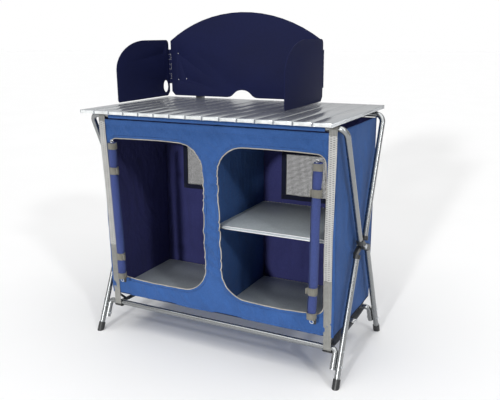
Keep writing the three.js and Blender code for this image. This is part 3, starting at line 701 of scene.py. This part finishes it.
def finish_joints():
    """Moulded edges for the pivot joints and the foot caps."""
    for side_name, _ in SIDES:
        for layer in ("outer", "inner"):
            mould(f"{layer}_joint_{side_name}", 0.0009)
        for face_name in ("front", "rear"):
            mould(f"{face_name}_foot_cap_{side_name}", 0.0009)


# ----------------------------------------------------------------- worktop


def make_worktop_details():
    """Rounded slat edges, the plugs in the slats' ends, and the grooved edge of the last slat."""
    for i in range(SLAT_COUNT):
        soften(f"slat_{i + 1:02d}", 0.0007)
    width = SLAT_HIGH.x - SLAT_LOW.x - 0.0044
    height = SLAT_HIGH.z - SLAT_LOW.z - 0.0026
    for name, y in (("front", SLAT_LOW.y + 0.0042), ("rear", SLAT_HIGH.y - 0.0042)):
        plugs = []
        for i in range(SLAT_COUNT):
            x = (SLAT_LOW.x + SLAT_HIGH.x) / 2 + i * SLAT_PITCH
            middle = (x, y, (SLAT_LOW.z + SLAT_HIGH.z) / 2 - 0.0005)
            plugs.append(blob(middle, (width, 0.0085, height), 32, 8, power=12))
        piece(f"slat_end_plugs_{name}", plugs, WHITE_PLASTIC, "worktop")
    ribs = []
    for x in (SLAT_LOW.x, -SLAT_LOW.x):
        for z in (SLAT_HIGH.z - 0.0030, SLAT_HIGH.z - 0.0068, SLAT_HIGH.z - 0.0106):
            ribs.append(tube([(x, SLAT_LOW.y + 0.001, z), (x, SLAT_HIGH.y - 0.001, z)], 0.0009, 10))
    piece("slat_edge_ribs", ribs, MATERIALS["slat_aluminium"], "worktop")


def finish_windscreen():
    """Rounded edges for the windscreen's boards and its clips."""
    for node in ("windscreen_rear", "windscreen_wing_left", "windscreen_wing_right"):
        soften(node, 0.0006)
    for side_name, _ in SIDES:
        soften(f"screen_clip_{side_name}", 0.0005)


# ---------------------------------------------------------------- cupboard


def opening_outline(name, grow=0.0):
    """A door opening's outline in X and Z: rounded corners, a sagging sill and a soft top edge."""
    left, right = OPENINGS[name]["edges"]
    left, right = left - grow, right + grow
    low, high = OPENING_BOTTOM - grow, OPENING_TOP + grow
    radii = {-1: OPENINGS[name]["radii"][0] + grow, 1: OPENINGS[name]["radii"][1] + grow}
    points = []
    for side, end, quarter in ((1, -1, -90), (1, 1, 0), (-1, 1, 90), (-1, -1, 180)):
        radius = radii[side]
        x = (right if side > 0 else left) - side * radius
        z = (high if end > 0 else low) - end * radius
        for k in range(13):
            turn = math.radians(quarter + 90 * k / 12)
            points.append((x + radius * math.cos(turn), z + radius * math.sin(turn)))
    loop = closed_loop(points, CLOTH_STEP)
    share = np.clip((loop[:, 0] - left) / (right - left), 0, 1)
    height = (loop[:, 1] - low) / (high - low)
    loop[:, 1] -= 0.010 * np.sin(math.pi * share) * (1 - height) ** 3
    loop[:, 1] += 0.004 * np.sin(math.pi * share) * height ** 3
    loop[:, 0] += 0.0035 * np.sin(7.0 * loop[:, 1] + 3 * share) * height * (1 - height) * 4
    return loop


def front_swell(x, z):
    """How far the front wall's cloth stands out, from its folds and slack."""
    swell = 0.0032 * billow(x, z, 0.085) + 0.0009 * billow(x, z, 0.024, 4.0)
    strip = np.exp(-((x - DIVIDER_X) / CREASE_WIDTH) ** 2)
    middle = np.clip((z - 0.2) / 0.1, 0, 1) * np.clip((0.76 - z) / 0.05, 0, 1)
    slant = (z + 0.75 * (x - DIVIDER_X)) / 0.047 + 0.8 * billow(x, z, 0.05, 2.0)
    counter = (z - 1.6 * (x - DIVIDER_X)) / 0.083 + 0.6 * billow(x, z, 0.07, 5.0)
    swell = swell + strip * middle * (0.0085 * ridge(slant) + 0.0060 * ridge(counter))
    hem = np.clip((OPENING_BOTTOM - 0.004 - z) / 0.03, 0, 1) * np.clip((z - CLOTH_BOTTOM) / 0.03, 0.15, 1)
    waves = ridge((x + 0.5 * z) / 0.062 + 0.5 * billow(x, z, 0.14))
    swell = swell + hem * (0.0065 * waves + 0.0035 * ridge((x - 0.8 * z) / 0.027 + billow(x, z, 0.1)))
    head = np.clip((z - OPENING_TOP) / 0.012, 0, 1) * np.clip((HEM_SEAM_Z - z) / 0.012, 0, 1)
    swell = swell + head * 0.0045 * ridge((x + 0.9 * z) / 0.085 + 0.7 * billow(x, z, 0.12, 3.0))
    for name, side in (("left", 1), ("right", -1)):
        edges = OPENINGS[name]["edges"]
        corner_x = edges[1] - 0.03 if side > 0 else edges[0] + 0.03
        dx, dz = (x - corner_x) * side, z - (OPENING_TOP - 0.03)
        fan = np.arctan2(dz, dx)
        near = np.exp(-((np.hypot(dx, dz) - 0.06) / 0.05) ** 2)
        swell = swell + 0.0040 * near * ridge(fan * 2.3 + 0.3)
    sleeve = 0.0035 * np.clip((z - HEM_SEAM_Z) / 0.003, 0, 1)
    seam = 0.0014 * np.exp(-((z - HEM_SEAM_Z) / 0.0028) ** 2)
    seams_x = (CLOTH_LEFT + 0.016, CLOTH_RIGHT - 0.036)
    side_seams = sum(np.exp(-((x - at) / 0.003) ** 2) for at in seams_x)
    return swell * np.clip((CLOTH_TOP - z) / 0.03, 0.1, 1) + sleeve - seam - 0.0012 * side_seams


def front_place(x, z, lift=0.0):
    """Where the front wall's cloth lies, or something that stands off it."""
    return space(x, -half_depth(z) - front_swell(x, z) - lift, z)


def rear_swell(x, z):
    """Curtain-like folds of the rear wall, calm at its windows and its edges."""
    ends = np.clip((x - CLOTH_LEFT) / 0.04, 0, 1) * np.clip((CLOTH_RIGHT - x) / 0.04, 0, 1)
    low = np.clip((0.52 - z) / 0.12, 0.12, 1) * np.clip((z - CLOTH_BOTTOM) / 0.08, 0.25, 1)
    wide = np.sin(2 * math.pi * x / 0.092 + 1.6 * billow(x, z, 0.22, 1.0))
    fine = np.sin(2 * math.pi * x / 0.037 + 2.0 * z)
    return ends * low * (0.0048 * wide + 0.0016 * fine)


def rear_place(x, z, lift=0.0):
    """Where the rear wall's cloth lies, or something that stands off it."""
    return space(x, half_depth(z) + rear_swell(x, z) + lift, z)


def rectangle(left, right, low, high, step=CLOTH_STEP):
    """A rectangle's outline, with short steps along its sides."""
    return closed_loop([(left, low), (right, low), (right, high), (left, high)], step)


def cupboard_sheet(node, shape, facing):
    """One of the cupboard's sheets, in place of its CAD node: blue outside and navy inside."""
    obj = piece(f"{node}_cloth", [shape], MATERIALS["blue_cloth"], "cabinet", facing=Vector(facing))
    folds(obj)
    thicken(obj, 0.0012, MATERIALS["navy_cloth"])
    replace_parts(obj, node)


def make_door_edge(name):
    """The zip, its tape and its stitching round a door opening."""
    loop = opening_outline(name)
    line = spaced(np.concatenate([loop, loop[:1]]), 0.0011)[:-1]
    path = front_place(line[:, 0], line[:, 1], 0.0004)
    teeth = 0.0019 + 0.00045 * np.sin(np.arange(len(path)) * math.pi / 1.5)
    coil = trim(f"door_zip_{name}", [tube(path, teeth, 8, closed=True)], ZIP_COIL)
    edges = (opening_outline(name, 0.0015), opening_outline(name, 0.011))
    strip = np.stack([front_place(edge[:, 0], edge[:, 1], 0.0011) for edge in edges], 1)
    rows = np.concatenate([strip, strip[:1]])
    tape = trim(f"door_zip_tape_{name}", [grid(rows)], MATERIALS["blue_cloth"])
    thicken(tape, 0.0006)
    seam = opening_outline(name, 0.0095)
    thread = stitches(front_place(seam[:, 0], seam[:, 1], 0.0016))
    return [coil, tape, trim(f"door_stitching_{name}", [thread], BLUE_THREAD)]


def make_front_wall():
    """The wall with the two door openings, and the stitching of its hems and seams."""
    outline = rectangle(CLOTH_LEFT, CLOTH_RIGHT, CLOTH_BOTTOM, CLOTH_TOP)
    holes = [opening_outline(name) for name in OPENINGS]
    wall = cut_cloth(outline, holes, CLOTH_STEP, front_place)
    trims = [part for name in OPENINGS for part in make_door_edge(name)]
    lines = []
    for x in (CLOTH_LEFT + 0.016, CLOTH_RIGHT - 0.030, CLOTH_RIGHT - 0.042):
        z = np.linspace(CLOTH_BOTTOM + 0.006, HEM_SEAM_Z, 90)
        lines.append(stitches(front_place(x, z, 0.0009)))
    for z in (HEM_SEAM_Z, HEM_SEAM_Z - 0.005, CLOTH_BOTTOM + 0.010):
        x = np.linspace(CLOTH_LEFT + 0.004, CLOTH_RIGHT - 0.004, 120)
        lines.append(stitches(front_place(x, z, 0.0009)))
    trims.append(trim("front_wall_stitching", lines, BLUE_THREAD))
    cupboard_sheet("cabinet_front", wall, (0, -1, 0))


def make_rear_wall():
    """The wall at the back, with a net in each of its two windows."""
    outline = rectangle(CLOTH_LEFT, CLOTH_RIGHT, CLOTH_BOTTOM, CLOTH_TOP)
    windows = []
    for side_name, _ in SIDES:
        low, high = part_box(f"mesh_window_{side_name}")
        windows.append((side_name, low, high))
    holes = [rectangle(low.x, high.x, low.z, high.z) for _, low, high in windows]
    wall = cut_cloth(outline, holes, CLOTH_STEP, rear_place)
    area = (CLOTH_RIGHT - CLOTH_LEFT) * (CLOTH_TOP - CLOTH_BOTTOM)
    area -= sum((high.x - low.x) * (high.z - low.z) for _, low, high in windows)
    bindings = [make_net(*window) for window in windows]
    cupboard_sheet("cabinet_rear", wall, (0, 1, 0))


NET_PITCH = 0.0046
NET_THREAD_RADIUS = 0.00118
BINDING_WIDTH = 0.016


def make_net(side_name, low, high):
    """A window's net, knotted from crossing threads, and the dark binding round it."""
    threads = []
    for at in np.linspace(low.x, high.x, round((high.x - low.x) / NET_PITCH) + 1):
        line = rear_place(at, np.linspace(low.z, high.z, 3), -0.0005)
        threads.append(tube(line, NET_THREAD_RADIUS, 5))
    for at in np.linspace(low.z, high.z, round((high.z - low.z) / NET_PITCH) + 1):
        line = rear_place(np.linspace(low.x, high.x, 3), at, 0.0005)
        threads.append(tube(line, NET_THREAD_RADIUS, 5))
    net = trim(f"window_net_{side_name}", threads, MATERIALS["mesh_cloth"])
    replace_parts(net, f"mesh_window_{side_name}")
    left, right = low.x - BINDING_WIDTH, high.x + BINDING_WIDTH
    strips = []
    for lift in (-0.0016, 0.0016):
        for x0, x1, z0, z1 in (
            (left, right, low.z - BINDING_WIDTH, low.z + 0.002),
            (left, right, high.z - 0.002, high.z + BINDING_WIDTH),
            (left, low.x + 0.002, low.z, high.z),
            (high.x - 0.002, right, low.z, high.z),
        ):
            x, z = np.meshgrid(np.linspace(x0, x1, 24), np.linspace(z0, z1, 24))
            strips.append(grid(rear_place(x, z, lift)))
    return thicken(trim(f"window_binding_{side_name}", strips, BINDING), 0.0009)


def cross_place(x, bulge):
    """Where a wall across the depth lies: at x along its edges, and bulging to one side between."""

    def place(y, z):
        middle = np.clip(1 - (y / half_depth(z)) ** 2, 0, 1)
        rise = np.sin(math.pi * np.clip((z - CLOTH_BOTTOM) / (CLOTH_TOP - CLOTH_BOTTOM), 0, 1))
        swell = 0.0030 * middle * rise + 0.0020 * middle * billow(y, z, 0.07, x * 9)
        slant = (y + 0.35 * z) / 0.083 + 0.7 * billow(y, z, 0.11, x * 5)
        swell = swell + 0.0050 * middle * rise * ridge(slant)
        seam = np.exp(-((z - SIDE_SEAM_Z) / 0.0030) ** 2)
        sleeve = np.clip((z - SIDE_SEAM_Z) / 0.004, 0, 1)
        return space(x + bulge * (swell - 0.0018 * seam + 0.0014 * sleeve), y, z)

    return place


def side_wall_stitching(node, x, bulge):
    """Stitches along a side wall's top seam, its bottom hem and both its edges."""
    place = cross_place(x + math.copysign(0.0011, bulge), bulge)
    rows = []
    for z in (SIDE_SEAM_Z + 0.002, SIDE_SEAM_Z - 0.003, CLOTH_BOTTOM + 0.011):
        y = np.linspace(0.004 - half_depth(z), half_depth(z) - 0.004, 60)
        rows.append(stitches(place(y, z)))
    for end in (-1, 1):
        z = np.linspace(CLOTH_BOTTOM + 0.001, CLOTH_TOP + 0.003, 80)
        rows.append(stitches(place(end * (half_depth(z) - 0.008), z)))
    return trim(f"{node}_stitching", rows, BLUE_THREAD)


def make_cross_walls():
    """Both side walls, which bulge outwards, and the divider, which stays clear of the boards."""
    low = CLOTH_BOTTOM + 0.001
    for node, x, bulge, top in (
        ("cabinet_side_left", CLOTH_LEFT + WALL / 2, -1, CLOTH_TOP + 0.003),
        ("cabinet_side_right", CLOTH_RIGHT - WALL / 2, 1, CLOTH_TOP + 0.003),
        ("cabinet_divider", DIVIDER_X, 0.25, CLOTH_TOP - 0.003),
    ):
        bottom_half, top_half = half_depth(low) - 0.0008, half_depth(top) - 0.0008
        corners = [(-bottom_half, low), (bottom_half, low), (top_half, top), (-top_half, top)]
        outline = closed_loop(corners, CLOTH_STEP)
        wall = cut_cloth(outline, [], CLOTH_STEP, cross_place(x, bulge))
        trims = [] if node == "cabinet_divider" else [side_wall_stitching(node, x, bulge)]
        cupboard_sheet(node, wall, (bulge, 0, 0))


def make_bottom():
    """The cloth under the floor boards, with piping round its edge."""

    def place(x, y):
        slack = np.clip(1 - np.abs(y) / DEPTH_BOTTOM, 0, 1)
        return space(x, y, CLOTH_BOTTOM + 0.0022 - 0.0016 * slack + 0.0006 * billow(x, y, 0.09))

    depth = DEPTH_BOTTOM - 0.001
    outline = rectangle(CLOTH_LEFT + 0.001, CLOTH_RIGHT - 0.001, -depth, depth, 0.012)
    sheet = cut_cloth(outline, [], 0.012, place)
    edge = place(outline[:, 0], outline[:, 1])
    piping = trim("bottom_piping", [tube(edge, 0.0016, 8, closed=True)], BINDING)
    cupboard_sheet("cabinet_bottom", sheet, (0, 0, -1))


def make_sleeves():
    """The hems round both top rails, from which the cupboard hangs."""
    inner = TUBE_RADIUS + 0.0009
    turns = np.radians(np.linspace(-20, 200, 15))
    wrap = np.stack([inner * np.cos(turns), inner * np.sin(turns)], -1)
    outer_skirt = [(0.0098, -0.0095), (0.0102, -0.0060)]
    inner_skirt = [(-0.0085, -0.0070), (-0.0055, -0.0098)]
    profile = spaced(np.concatenate([outer_skirt, wrap, inner_skirt]) + (TOP_RAIL_Y, TOP_RAIL_Z), 0.0035)
    x = np.linspace(CLOTH_LEFT + 0.038, CLOTH_RIGHT - 0.037, 110)
    for face_name, face in FACES:
        rows = []
        for y, z in profile:
            wave = 0.0006 * billow(x, z * 3, 0.05) * np.clip((TOP_RAIL_Z - z) / 0.02, 0, 1)
            rows.append(space(x, face * (y + wave), z))
        slot = "blue_cloth" if face < 0 else "navy_cloth"
        body = FRAME_BODY[face_name, "top"]
        sleeve = piece(f"hem_sleeve_{face_name}", [grid(rows)], MATERIALS[slot], body)
        thicken(sleeve, 0.0009)


# --------------------------------------------------------------- door rolls

ROLL_TURNS = 5.5
ROLL_CORE = 0.0045

# The heights of the bands round each rolled door.
ROLL_BANDS = {
    "left": {"cuffs": (0.706, 0.235), "ties": (0.620, 0.308)},
    "right": {"cuffs": (0.697, 0.226), "ties": (0.618, 0.308)},
}


def roll_axis(side_name):
    """The lower and upper end of a rolled door's middle line, and its radius."""
    low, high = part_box(f"door_roll_{side_name}")
    y = (low.y + high.y) / 2
    radius = (high.y - low.y) / 2
    left = low.x + radius
    right = high.x - radius
    if side_name == "left":
        return Vector((right, y, low.z)), Vector((left, y, high.z)), radius
    return Vector((left, y, low.z)), Vector((right, y, high.z)), radius


def roll_squeeze(side_name, z):
    """How the ties and cuffs draw the roll in, as a share of its radius."""
    share = 1.0
    for group, depth, width in (("ties", 0.13, 0.020), ("cuffs", 0.08, 0.022)):
        for at in ROLL_BANDS[side_name][group]:
            share = share - depth * math.exp(-((z - at) / width) ** 2)
    return share


def make_door_roll(side_name, side):
    """A door rolled up beside its opening, with its bands, rings and zip pull."""
    low, high, radius = roll_axis(side_name)
    outer = radius - 0.0012
    angles = np.linspace(0, 2 * math.pi * ROLL_TURNS, int(30 * ROLL_TURNS))
    reach = ROLL_CORE + (outer - ROLL_CORE) * angles / angles[-1]
    rows = []
    for share in np.linspace(0, 1, 64):
        middle = low.lerp(high, share)
        uneven = 1 + 0.035 * np.sin(3 * angles + 9 * share) * np.sin(14 * share + angles)
        size = reach * roll_squeeze(side_name, middle.z) * uneven
        sag = 0.0015 * math.sin(6.5 * share)
        turn = side * angles + 0.5 + 0.25 * math.sin(5 * share)
        height = middle.z + 0.0015 * math.sin(20 * share)
        rows.append(space(middle.x + sag + size * np.cos(turn), middle.y + size * np.sin(turn), height))
    roll = trim(f"rolled_door_{side_name}", [grid(rows)], MATERIALS["violet_cloth"])
    thicken(roll, 0.0008)
    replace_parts(roll, f"door_roll_{side_name}")
    make_roll_trims(side_name, side, low, high, outer)


def make_roll_trims(side_name, side, low, high, outer):
    """The tapes round a rolled door, the rings at its ends and the zip pull."""
    bands = []
    for group, width, grow in (("cuffs", 0.022, 0.0), ("ties", 0.025, 0.0006)):
        for at in ROLL_BANDS[side_name][group]:
            middle = low.lerp(high, (at - low.z) / (high.z - low.z))
            size = outer * float(roll_squeeze(side_name, at)) + 0.0016 + grow
            bands.append(wrapped_band(middle, size, width))
            if group == "ties":
                bands.append(tie_tab(middle, size, width, side))
    tapes = trim(f"door_ties_{side_name}", bands, KHAKI_TAPE)
    rings = [
        torus((high.x - 0.002 * side, high.y - 0.004, high.z + 0.006), (0, 1, 0.3), 0.0055, 0.0011),
        torus((low.x + 0.003, low.y - 0.006, low.z - 0.009), (0, 1, 0.2), 0.0060, 0.0012),
    ]
    metal = trim(f"door_rings_{side_name}", rings, EDGE_METAL)
    tag = blob((low.x + 0.012, low.y - 0.002, low.z - 0.008), (0.011, 0.005, 0.020), power=3)
    pull = trim(f"door_zip_pull_{side_name}", [tag], MATERIALS["black_plastic"])
    return [tapes, metal, pull]


def wrapped_band(middle, radius, width):
    """A tape wound once round a roll, slightly crumpled."""
    angles = np.linspace(0, 2 * math.pi, 48, endpoint=False)
    rings = []
    for share, lift in ((-0.5, -0.5), (-0.5, 0.5), (-0.25, 0.7), (0.25, 0.6), (0.5, 0.5), (0.5, -0.5)):
        size = radius + 0.0009 * lift + 0.0004 * np.sin(5 * angles + 4 * share)
        height = middle.z + share * width + 0.0006 * np.sin(3 * angles)
        rings.append(space(middle.x + size * np.cos(angles), middle.y + size * np.sin(angles), height))
    return loft(rings, closed=True)


def tie_tab(middle, radius, width, side):
    """The tie's folded end, standing off the roll beside the opening."""
    start = Vector((middle.x - side * (radius - 0.002), middle.y, middle.z))
    offsets = [(0, -0.006, 0.002), (0.006, -0.010, 0), (0.009, -0.005, -0.003), (0.004, 0.002, -0.004)]
    line = [start + Vector((-side * x, y, z)) for x, y, z in offsets]
    return band(spaced(rounded(line, 0.002, 5), 0.0015), (0, 0, 1), width * 0.8, 0.0014)


# ------------------------------------------------------------------- straps


def rail_arc(rail, radius, start, end, x, count=18):
    """Part of a turn round a rail, whose middle is given in Y and Z."""
    angles = np.radians(np.linspace(start, end, count))
    return space(x, rail[0] + radius * np.cos(angles), rail[1] + radius * np.sin(angles))


def strap_piece(name, path, material, body, ribs=0.0002, rib_pitch=0.0026):
    """A strap of the usual width along a path."""
    shape = band(path, (1, 0, 0), STRAP_WIDTH, STRAP_THICKNESS, ribs, rib_pitch)
    return piece(name, [shape], material, body, sharp=60)


def fan(line, side):
    """A strap's line, with its upper part leaning outwards."""
    lean = STRAP_FAN * np.clip((line[:, 2] - 0.45) / 0.3, 0, 1)
    return line + np.outer(lean, (side, 0, 0))


def make_straps():
    """The front straps in two bands each, their hooks, and the straps under the cupboard."""
    near = TUBE_RADIUS + 0.0006 + STRAP_THICKNESS / 2
    outer = near + STRAP_THICKNESS + 0.0006
    top = np.array([-TOP_RAIL_Y, TOP_RAIL_Z])
    bottom = np.array([-LOW_RAIL_Y, LOW_RAIL_Z])
    down = (bottom - top) / np.linalg.norm(bottom - top)
    outward = np.array([down[1], -down[0]])
    for side_name, side in SIDES:
        x = centre(f"strap_upper_{side_name}").x
        loop = rail_arc(top, near, -25, 160, x)
        upper_end = TOP_RAIL_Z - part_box(f"strap_upper_{side_name}")[0].z
        hanging = top + outward * outer + np.outer(np.linspace(0.020, upper_end, 12), down)
        line = fan(np.concatenate([loop, space(x, hanging[:, 0], hanging[:, 1])]), side)
        wrap = spaced(line[:len(loop) + 1], 0.0015)
        drop = spaced(line[len(loop):], 0.0013)
        turn = strap_piece(f"strap_loop_{side_name}", wrap, PLAIN_WEBBING, "upper_straps", 0.0)
        upper = strap_piece(f"strap_upper_band_{side_name}", drop, MATERIALS["webbing"], "upper_straps",
                            0.0005, 0.0060)
        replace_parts(upper, f"strap_upper_{side_name}")
        start = TOP_RAIL_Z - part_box(f"strap_lower_{side_name}")[1].z
        y, z = top + outward * near + down * start
        line = spaced([(x, y, z), *rail_arc(bottom, near, 180, 300, x)], 0.0013)
        lower = strap_piece(f"strap_lower_band_{side_name}", line, PLAIN_WEBBING, "lower_straps")
        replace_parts(lower, f"strap_lower_{side_name}")
        make_strap_hook(side_name, x, bottom, near)
        make_base_strap(side_name, x, LOW_RAIL_Y - near - 0.002)


def cross_bar(x, reach, y, z, radius, sides):
    """A straight rod across a strap."""
    return tube([(x - reach, y, z), (x + reach, y, z)], radius, sides)


def make_strap_hook(side_name, x, rail, near):
    """The black clip that holds the strap's turn under the front lower rail."""
    path = rail_arc(rail, near + 0.0032, 205, 330, x, 24)
    clip = band(path, (1, 0, 0), STRAP_WIDTH + 0.006, 0.0034)
    bar = cross_bar(x, STRAP_WIDTH / 2 + 0.004, *path[-1][1:], 0.0030, 14)
    plastic = MATERIALS["black_plastic"]
    piece(f"strap_hook_{side_name}", [clip, bar], plastic, "inner_frame")


SLIDER_Y = 0.055
SLIDER_REACH = 0.013
SLIDER_PITCH = 0.011
SLIDER_LIFT = 0.0026
SLIDER_RADIUS = 0.0016


def make_base_strap(side_name, x, reach):
    """The strap under the cupboard, from the front lower rail to the rear one, with its slider."""

    def height(y):
        return LOW_RAIL_Z - 0.002 - 0.006 * (1 - (y / reach) ** 2)

    def gather(obj):
        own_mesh(obj)

    y = np.linspace(-reach, reach, 240)
    line = space(x, y, height(y))
    strap = strap_piece(f"base_strap_band_{side_name}", line, DARK_WEBBING, "base_straps")
    gather(strap)
    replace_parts(strap, f"base_strap_{side_name}")
    half = STRAP_WIDTH / 2 + 0.003
    bars = []
    for y in (SLIDER_Y - SLIDER_PITCH, SLIDER_Y, SLIDER_Y + SLIDER_PITCH):
        bars.append(cross_bar(x, half, y, height(y) + SLIDER_LIFT, SLIDER_RADIUS, 12))
    z = height(SLIDER_Y + SLIDER_PITCH) + SLIDER_LIFT
    for edge in (x - half, x + half):
        ends = [(edge, SLIDER_Y - SLIDER_REACH, z), (edge, SLIDER_Y + SLIDER_REACH, z)]
        bars.append(tube(ends, SLIDER_RADIUS, 12))
    slider = piece(f"base_strap_slider_{side_name}", bars, EDGE_METAL, "base_straps")
    gather(slider)


def make_corner_ties():
    """Narrow tapes from the cupboard's lower corners down to the base straps."""
    for side_name, side in SIDES:
        strap_x = centre(f"base_strap_{side_name}").x
        edge = CLOTH_LEFT if side < 0 else CLOTH_RIGHT
        for face_name, face in FACES:
            start = space(edge - side * 0.006, face * (DEPTH_BOTTOM - 0.004), CLOTH_BOTTOM + 0.002)
            end = space(strap_x - side * 0.002, face * 0.143, LOW_RAIL_Z - 0.0005)
            middle = (start + end) / 2 - space(0, face * 0.003, 0.004)
            line = spaced([start, middle, end], 0.002)
            across = np.cross(tangents(line)[0], (1, 0, 0))
            across /= np.linalg.norm(across)
            shape = band(line, across, 0.009, 0.0012)
            name = f"corner_tie_{face_name}_{side_name}"
            tie = folds(piece(name, [shape], DARK_WEBBING, "cabinet", sharp=60))


# ------------------------------------------------------------------- boards


BOARD_BODY = {
    "shelf": "shelf_board",
    "floor_board_right": "floor_boards",
    "floor_board_left": "floor_boards",
}


def make_board_details():
    """The shelf's bright front edge, and the white stitching along the boards' rear edges."""
    low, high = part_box("shelf")
    x = np.linspace(low.x, high.x, 60)
    lips = []
    for z in (high.z + 0.0004, low.z - 0.0004):
        lips.append(tube(space(x, low.y - 0.0006, z), 0.0017, 10))
    piece("shelf_edge_strip", lips, EDGE_METAL, "shelf_board")
    for node, body in BOARD_BODY.items():
        low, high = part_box(node)
        soften(node, 0.0012)
        y, z = high.y - 0.004, high.z + 0.0004
        row = stitches([(low.x + 0.01, y, z), (high.x - 0.01, y, z)], 0.0125, 0.0085, 0.0010)
        piece(f"{node}_stitching", [row], THREAD, body)


# -------------------------------------------------------------- the setting

CAMERA_PLACE = (1.04123, -1.90979, 1.06762)
CAMERA_YAW = math.radians(27.296)
CAMERA_PITCH = math.radians(14.554)
CAMERA_ROLL = -0.00917
CAMERA_LENS = 45.52

# The backdrop's strength where it lights the object, is seen, and shows in polished parts.
AMBIENT = 0.03
BACKDROP = 1.0
REFLECTED = 0.6

# Each light's direction from the object, its spread in degrees and its strength.
SUNS = {
    "front_light": ((0.035, -1, 0.23), 4, 1.8),
    "right_light": ((1.6, -1, 1.0), 5, 0.6),
    "top_light": ((0.1, -0.2, 1), 80, 2.7),
}
FLOOR_REACH = 40
FLOOR_TONES = ((0.90, 0.90, 0.90), (0.93, 0.93, 0.93))


def make_camera():
    """The camera, turned by its yaw, pitch and roll."""
    forward = Vector((
        -math.sin(CAMERA_YAW) * math.cos(CAMERA_PITCH),
        math.cos(CAMERA_YAW) * math.cos(CAMERA_PITCH),
        -math.sin(CAMERA_PITCH),
    ))
    level = Vector((math.cos(CAMERA_YAW), math.sin(CAMERA_YAW), 0))
    upright = level.cross(forward)
    right = level * math.cos(CAMERA_ROLL) + upright * math.sin(CAMERA_ROLL)
    up = upright * math.cos(CAMERA_ROLL) - level * math.sin(CAMERA_ROLL)
    camera = bpy.data.objects.new("camera", bpy.data.cameras.new("camera"))
    camera.data.lens = CAMERA_LENS
    camera.data.clip_end = 60
    camera.matrix_world = Matrix((right, up, -forward)).transposed().to_4x4()
    camera.location = CAMERA_PLACE
    bpy.context.scene.collection.objects.link(camera)
    bpy.context.scene.camera = camera


def add_sun(name, towards, spread, strength):
    """A distant light that comes from a direction, spread over an angle in degrees."""
    light = bpy.data.lights.new(name, "SUN")
    light.energy = strength
    light.angle = math.radians(spread)
    obj = bpy.data.objects.new(name, light)
    obj.rotation_mode = "QUATERNION"
    obj.rotation_quaternion = Vector(towards).to_track_quat("Z", "Y")
    obj.location = Vector(towards).normalized() * 4
    bpy.context.scene.collection.objects.link(obj)


def make_world():
    """Soft even light all round, in front of a white backdrop that also shows in polished parts."""
    world = bpy.data.worlds.new("studio")
    world.use_nodes = True
    nodes, links = world.node_tree.nodes, world.node_tree.links
    path = nodes.new("ShaderNodeLightPath")
    strength = AMBIENT
    for ray, level in (("Is Camera Ray", BACKDROP), ("Is Glossy Ray", REFLECTED)):
        step = nodes.new("ShaderNodeMath")
        step.operation = "MULTIPLY_ADD"
        links.new(path.outputs[ray], step.inputs[0])
        step.inputs[1].default_value = level - AMBIENT
        if isinstance(strength, float):
            step.inputs[2].default_value = strength
        else:
            links.new(strength, step.inputs[2])
        strength = step.outputs[0]
    links.new(strength, nodes["Background"].inputs["Strength"])
    nodes["Background"].inputs["Color"].default_value = (1, 1, 1, 1)
    bpy.context.scene.world = world


def make_setting():
    """The lights, the backdrop and a plain pale floor."""
    bpy.context.scene.view_settings.view_transform = "Standard"
    make_world()
    for name, (towards, spread, strength) in SUNS.items():
        add_sun(name, towards, spread, strength)
    shader = Shader("floor", 0.9)
    shader.colour(shader.ramp(shader.noise(2.0, 2.0), list(enumerate(FLOOR_TONES))))
    mesh = bpy.data.meshes.new("floor")
    signs = ((-1, -1), (1, -1), (1, 1), (-1, 1))
    corners = [(x * FLOOR_REACH, y * FLOOR_REACH, 0) for x, y in signs]
    mesh.from_pydata(corners, [], [(0, 1, 2, 3)])
    mesh.materials.append(shader.material)
    floor = bpy.data.objects.new("floor", mesh)
    bpy.context.scene.collection.objects.link(floor)


make_camera()
make_setting()
finish_cad_nodes()
make_tubes()
finish_joints()
make_worktop_details()
finish_windscreen()
make_front_wall()
make_rear_wall()
make_cross_walls()
make_bottom()
make_sleeves()
for roll_side in SIDES:
    make_door_roll(*roll_side)
make_straps()
make_corner_ties()
make_board_details()
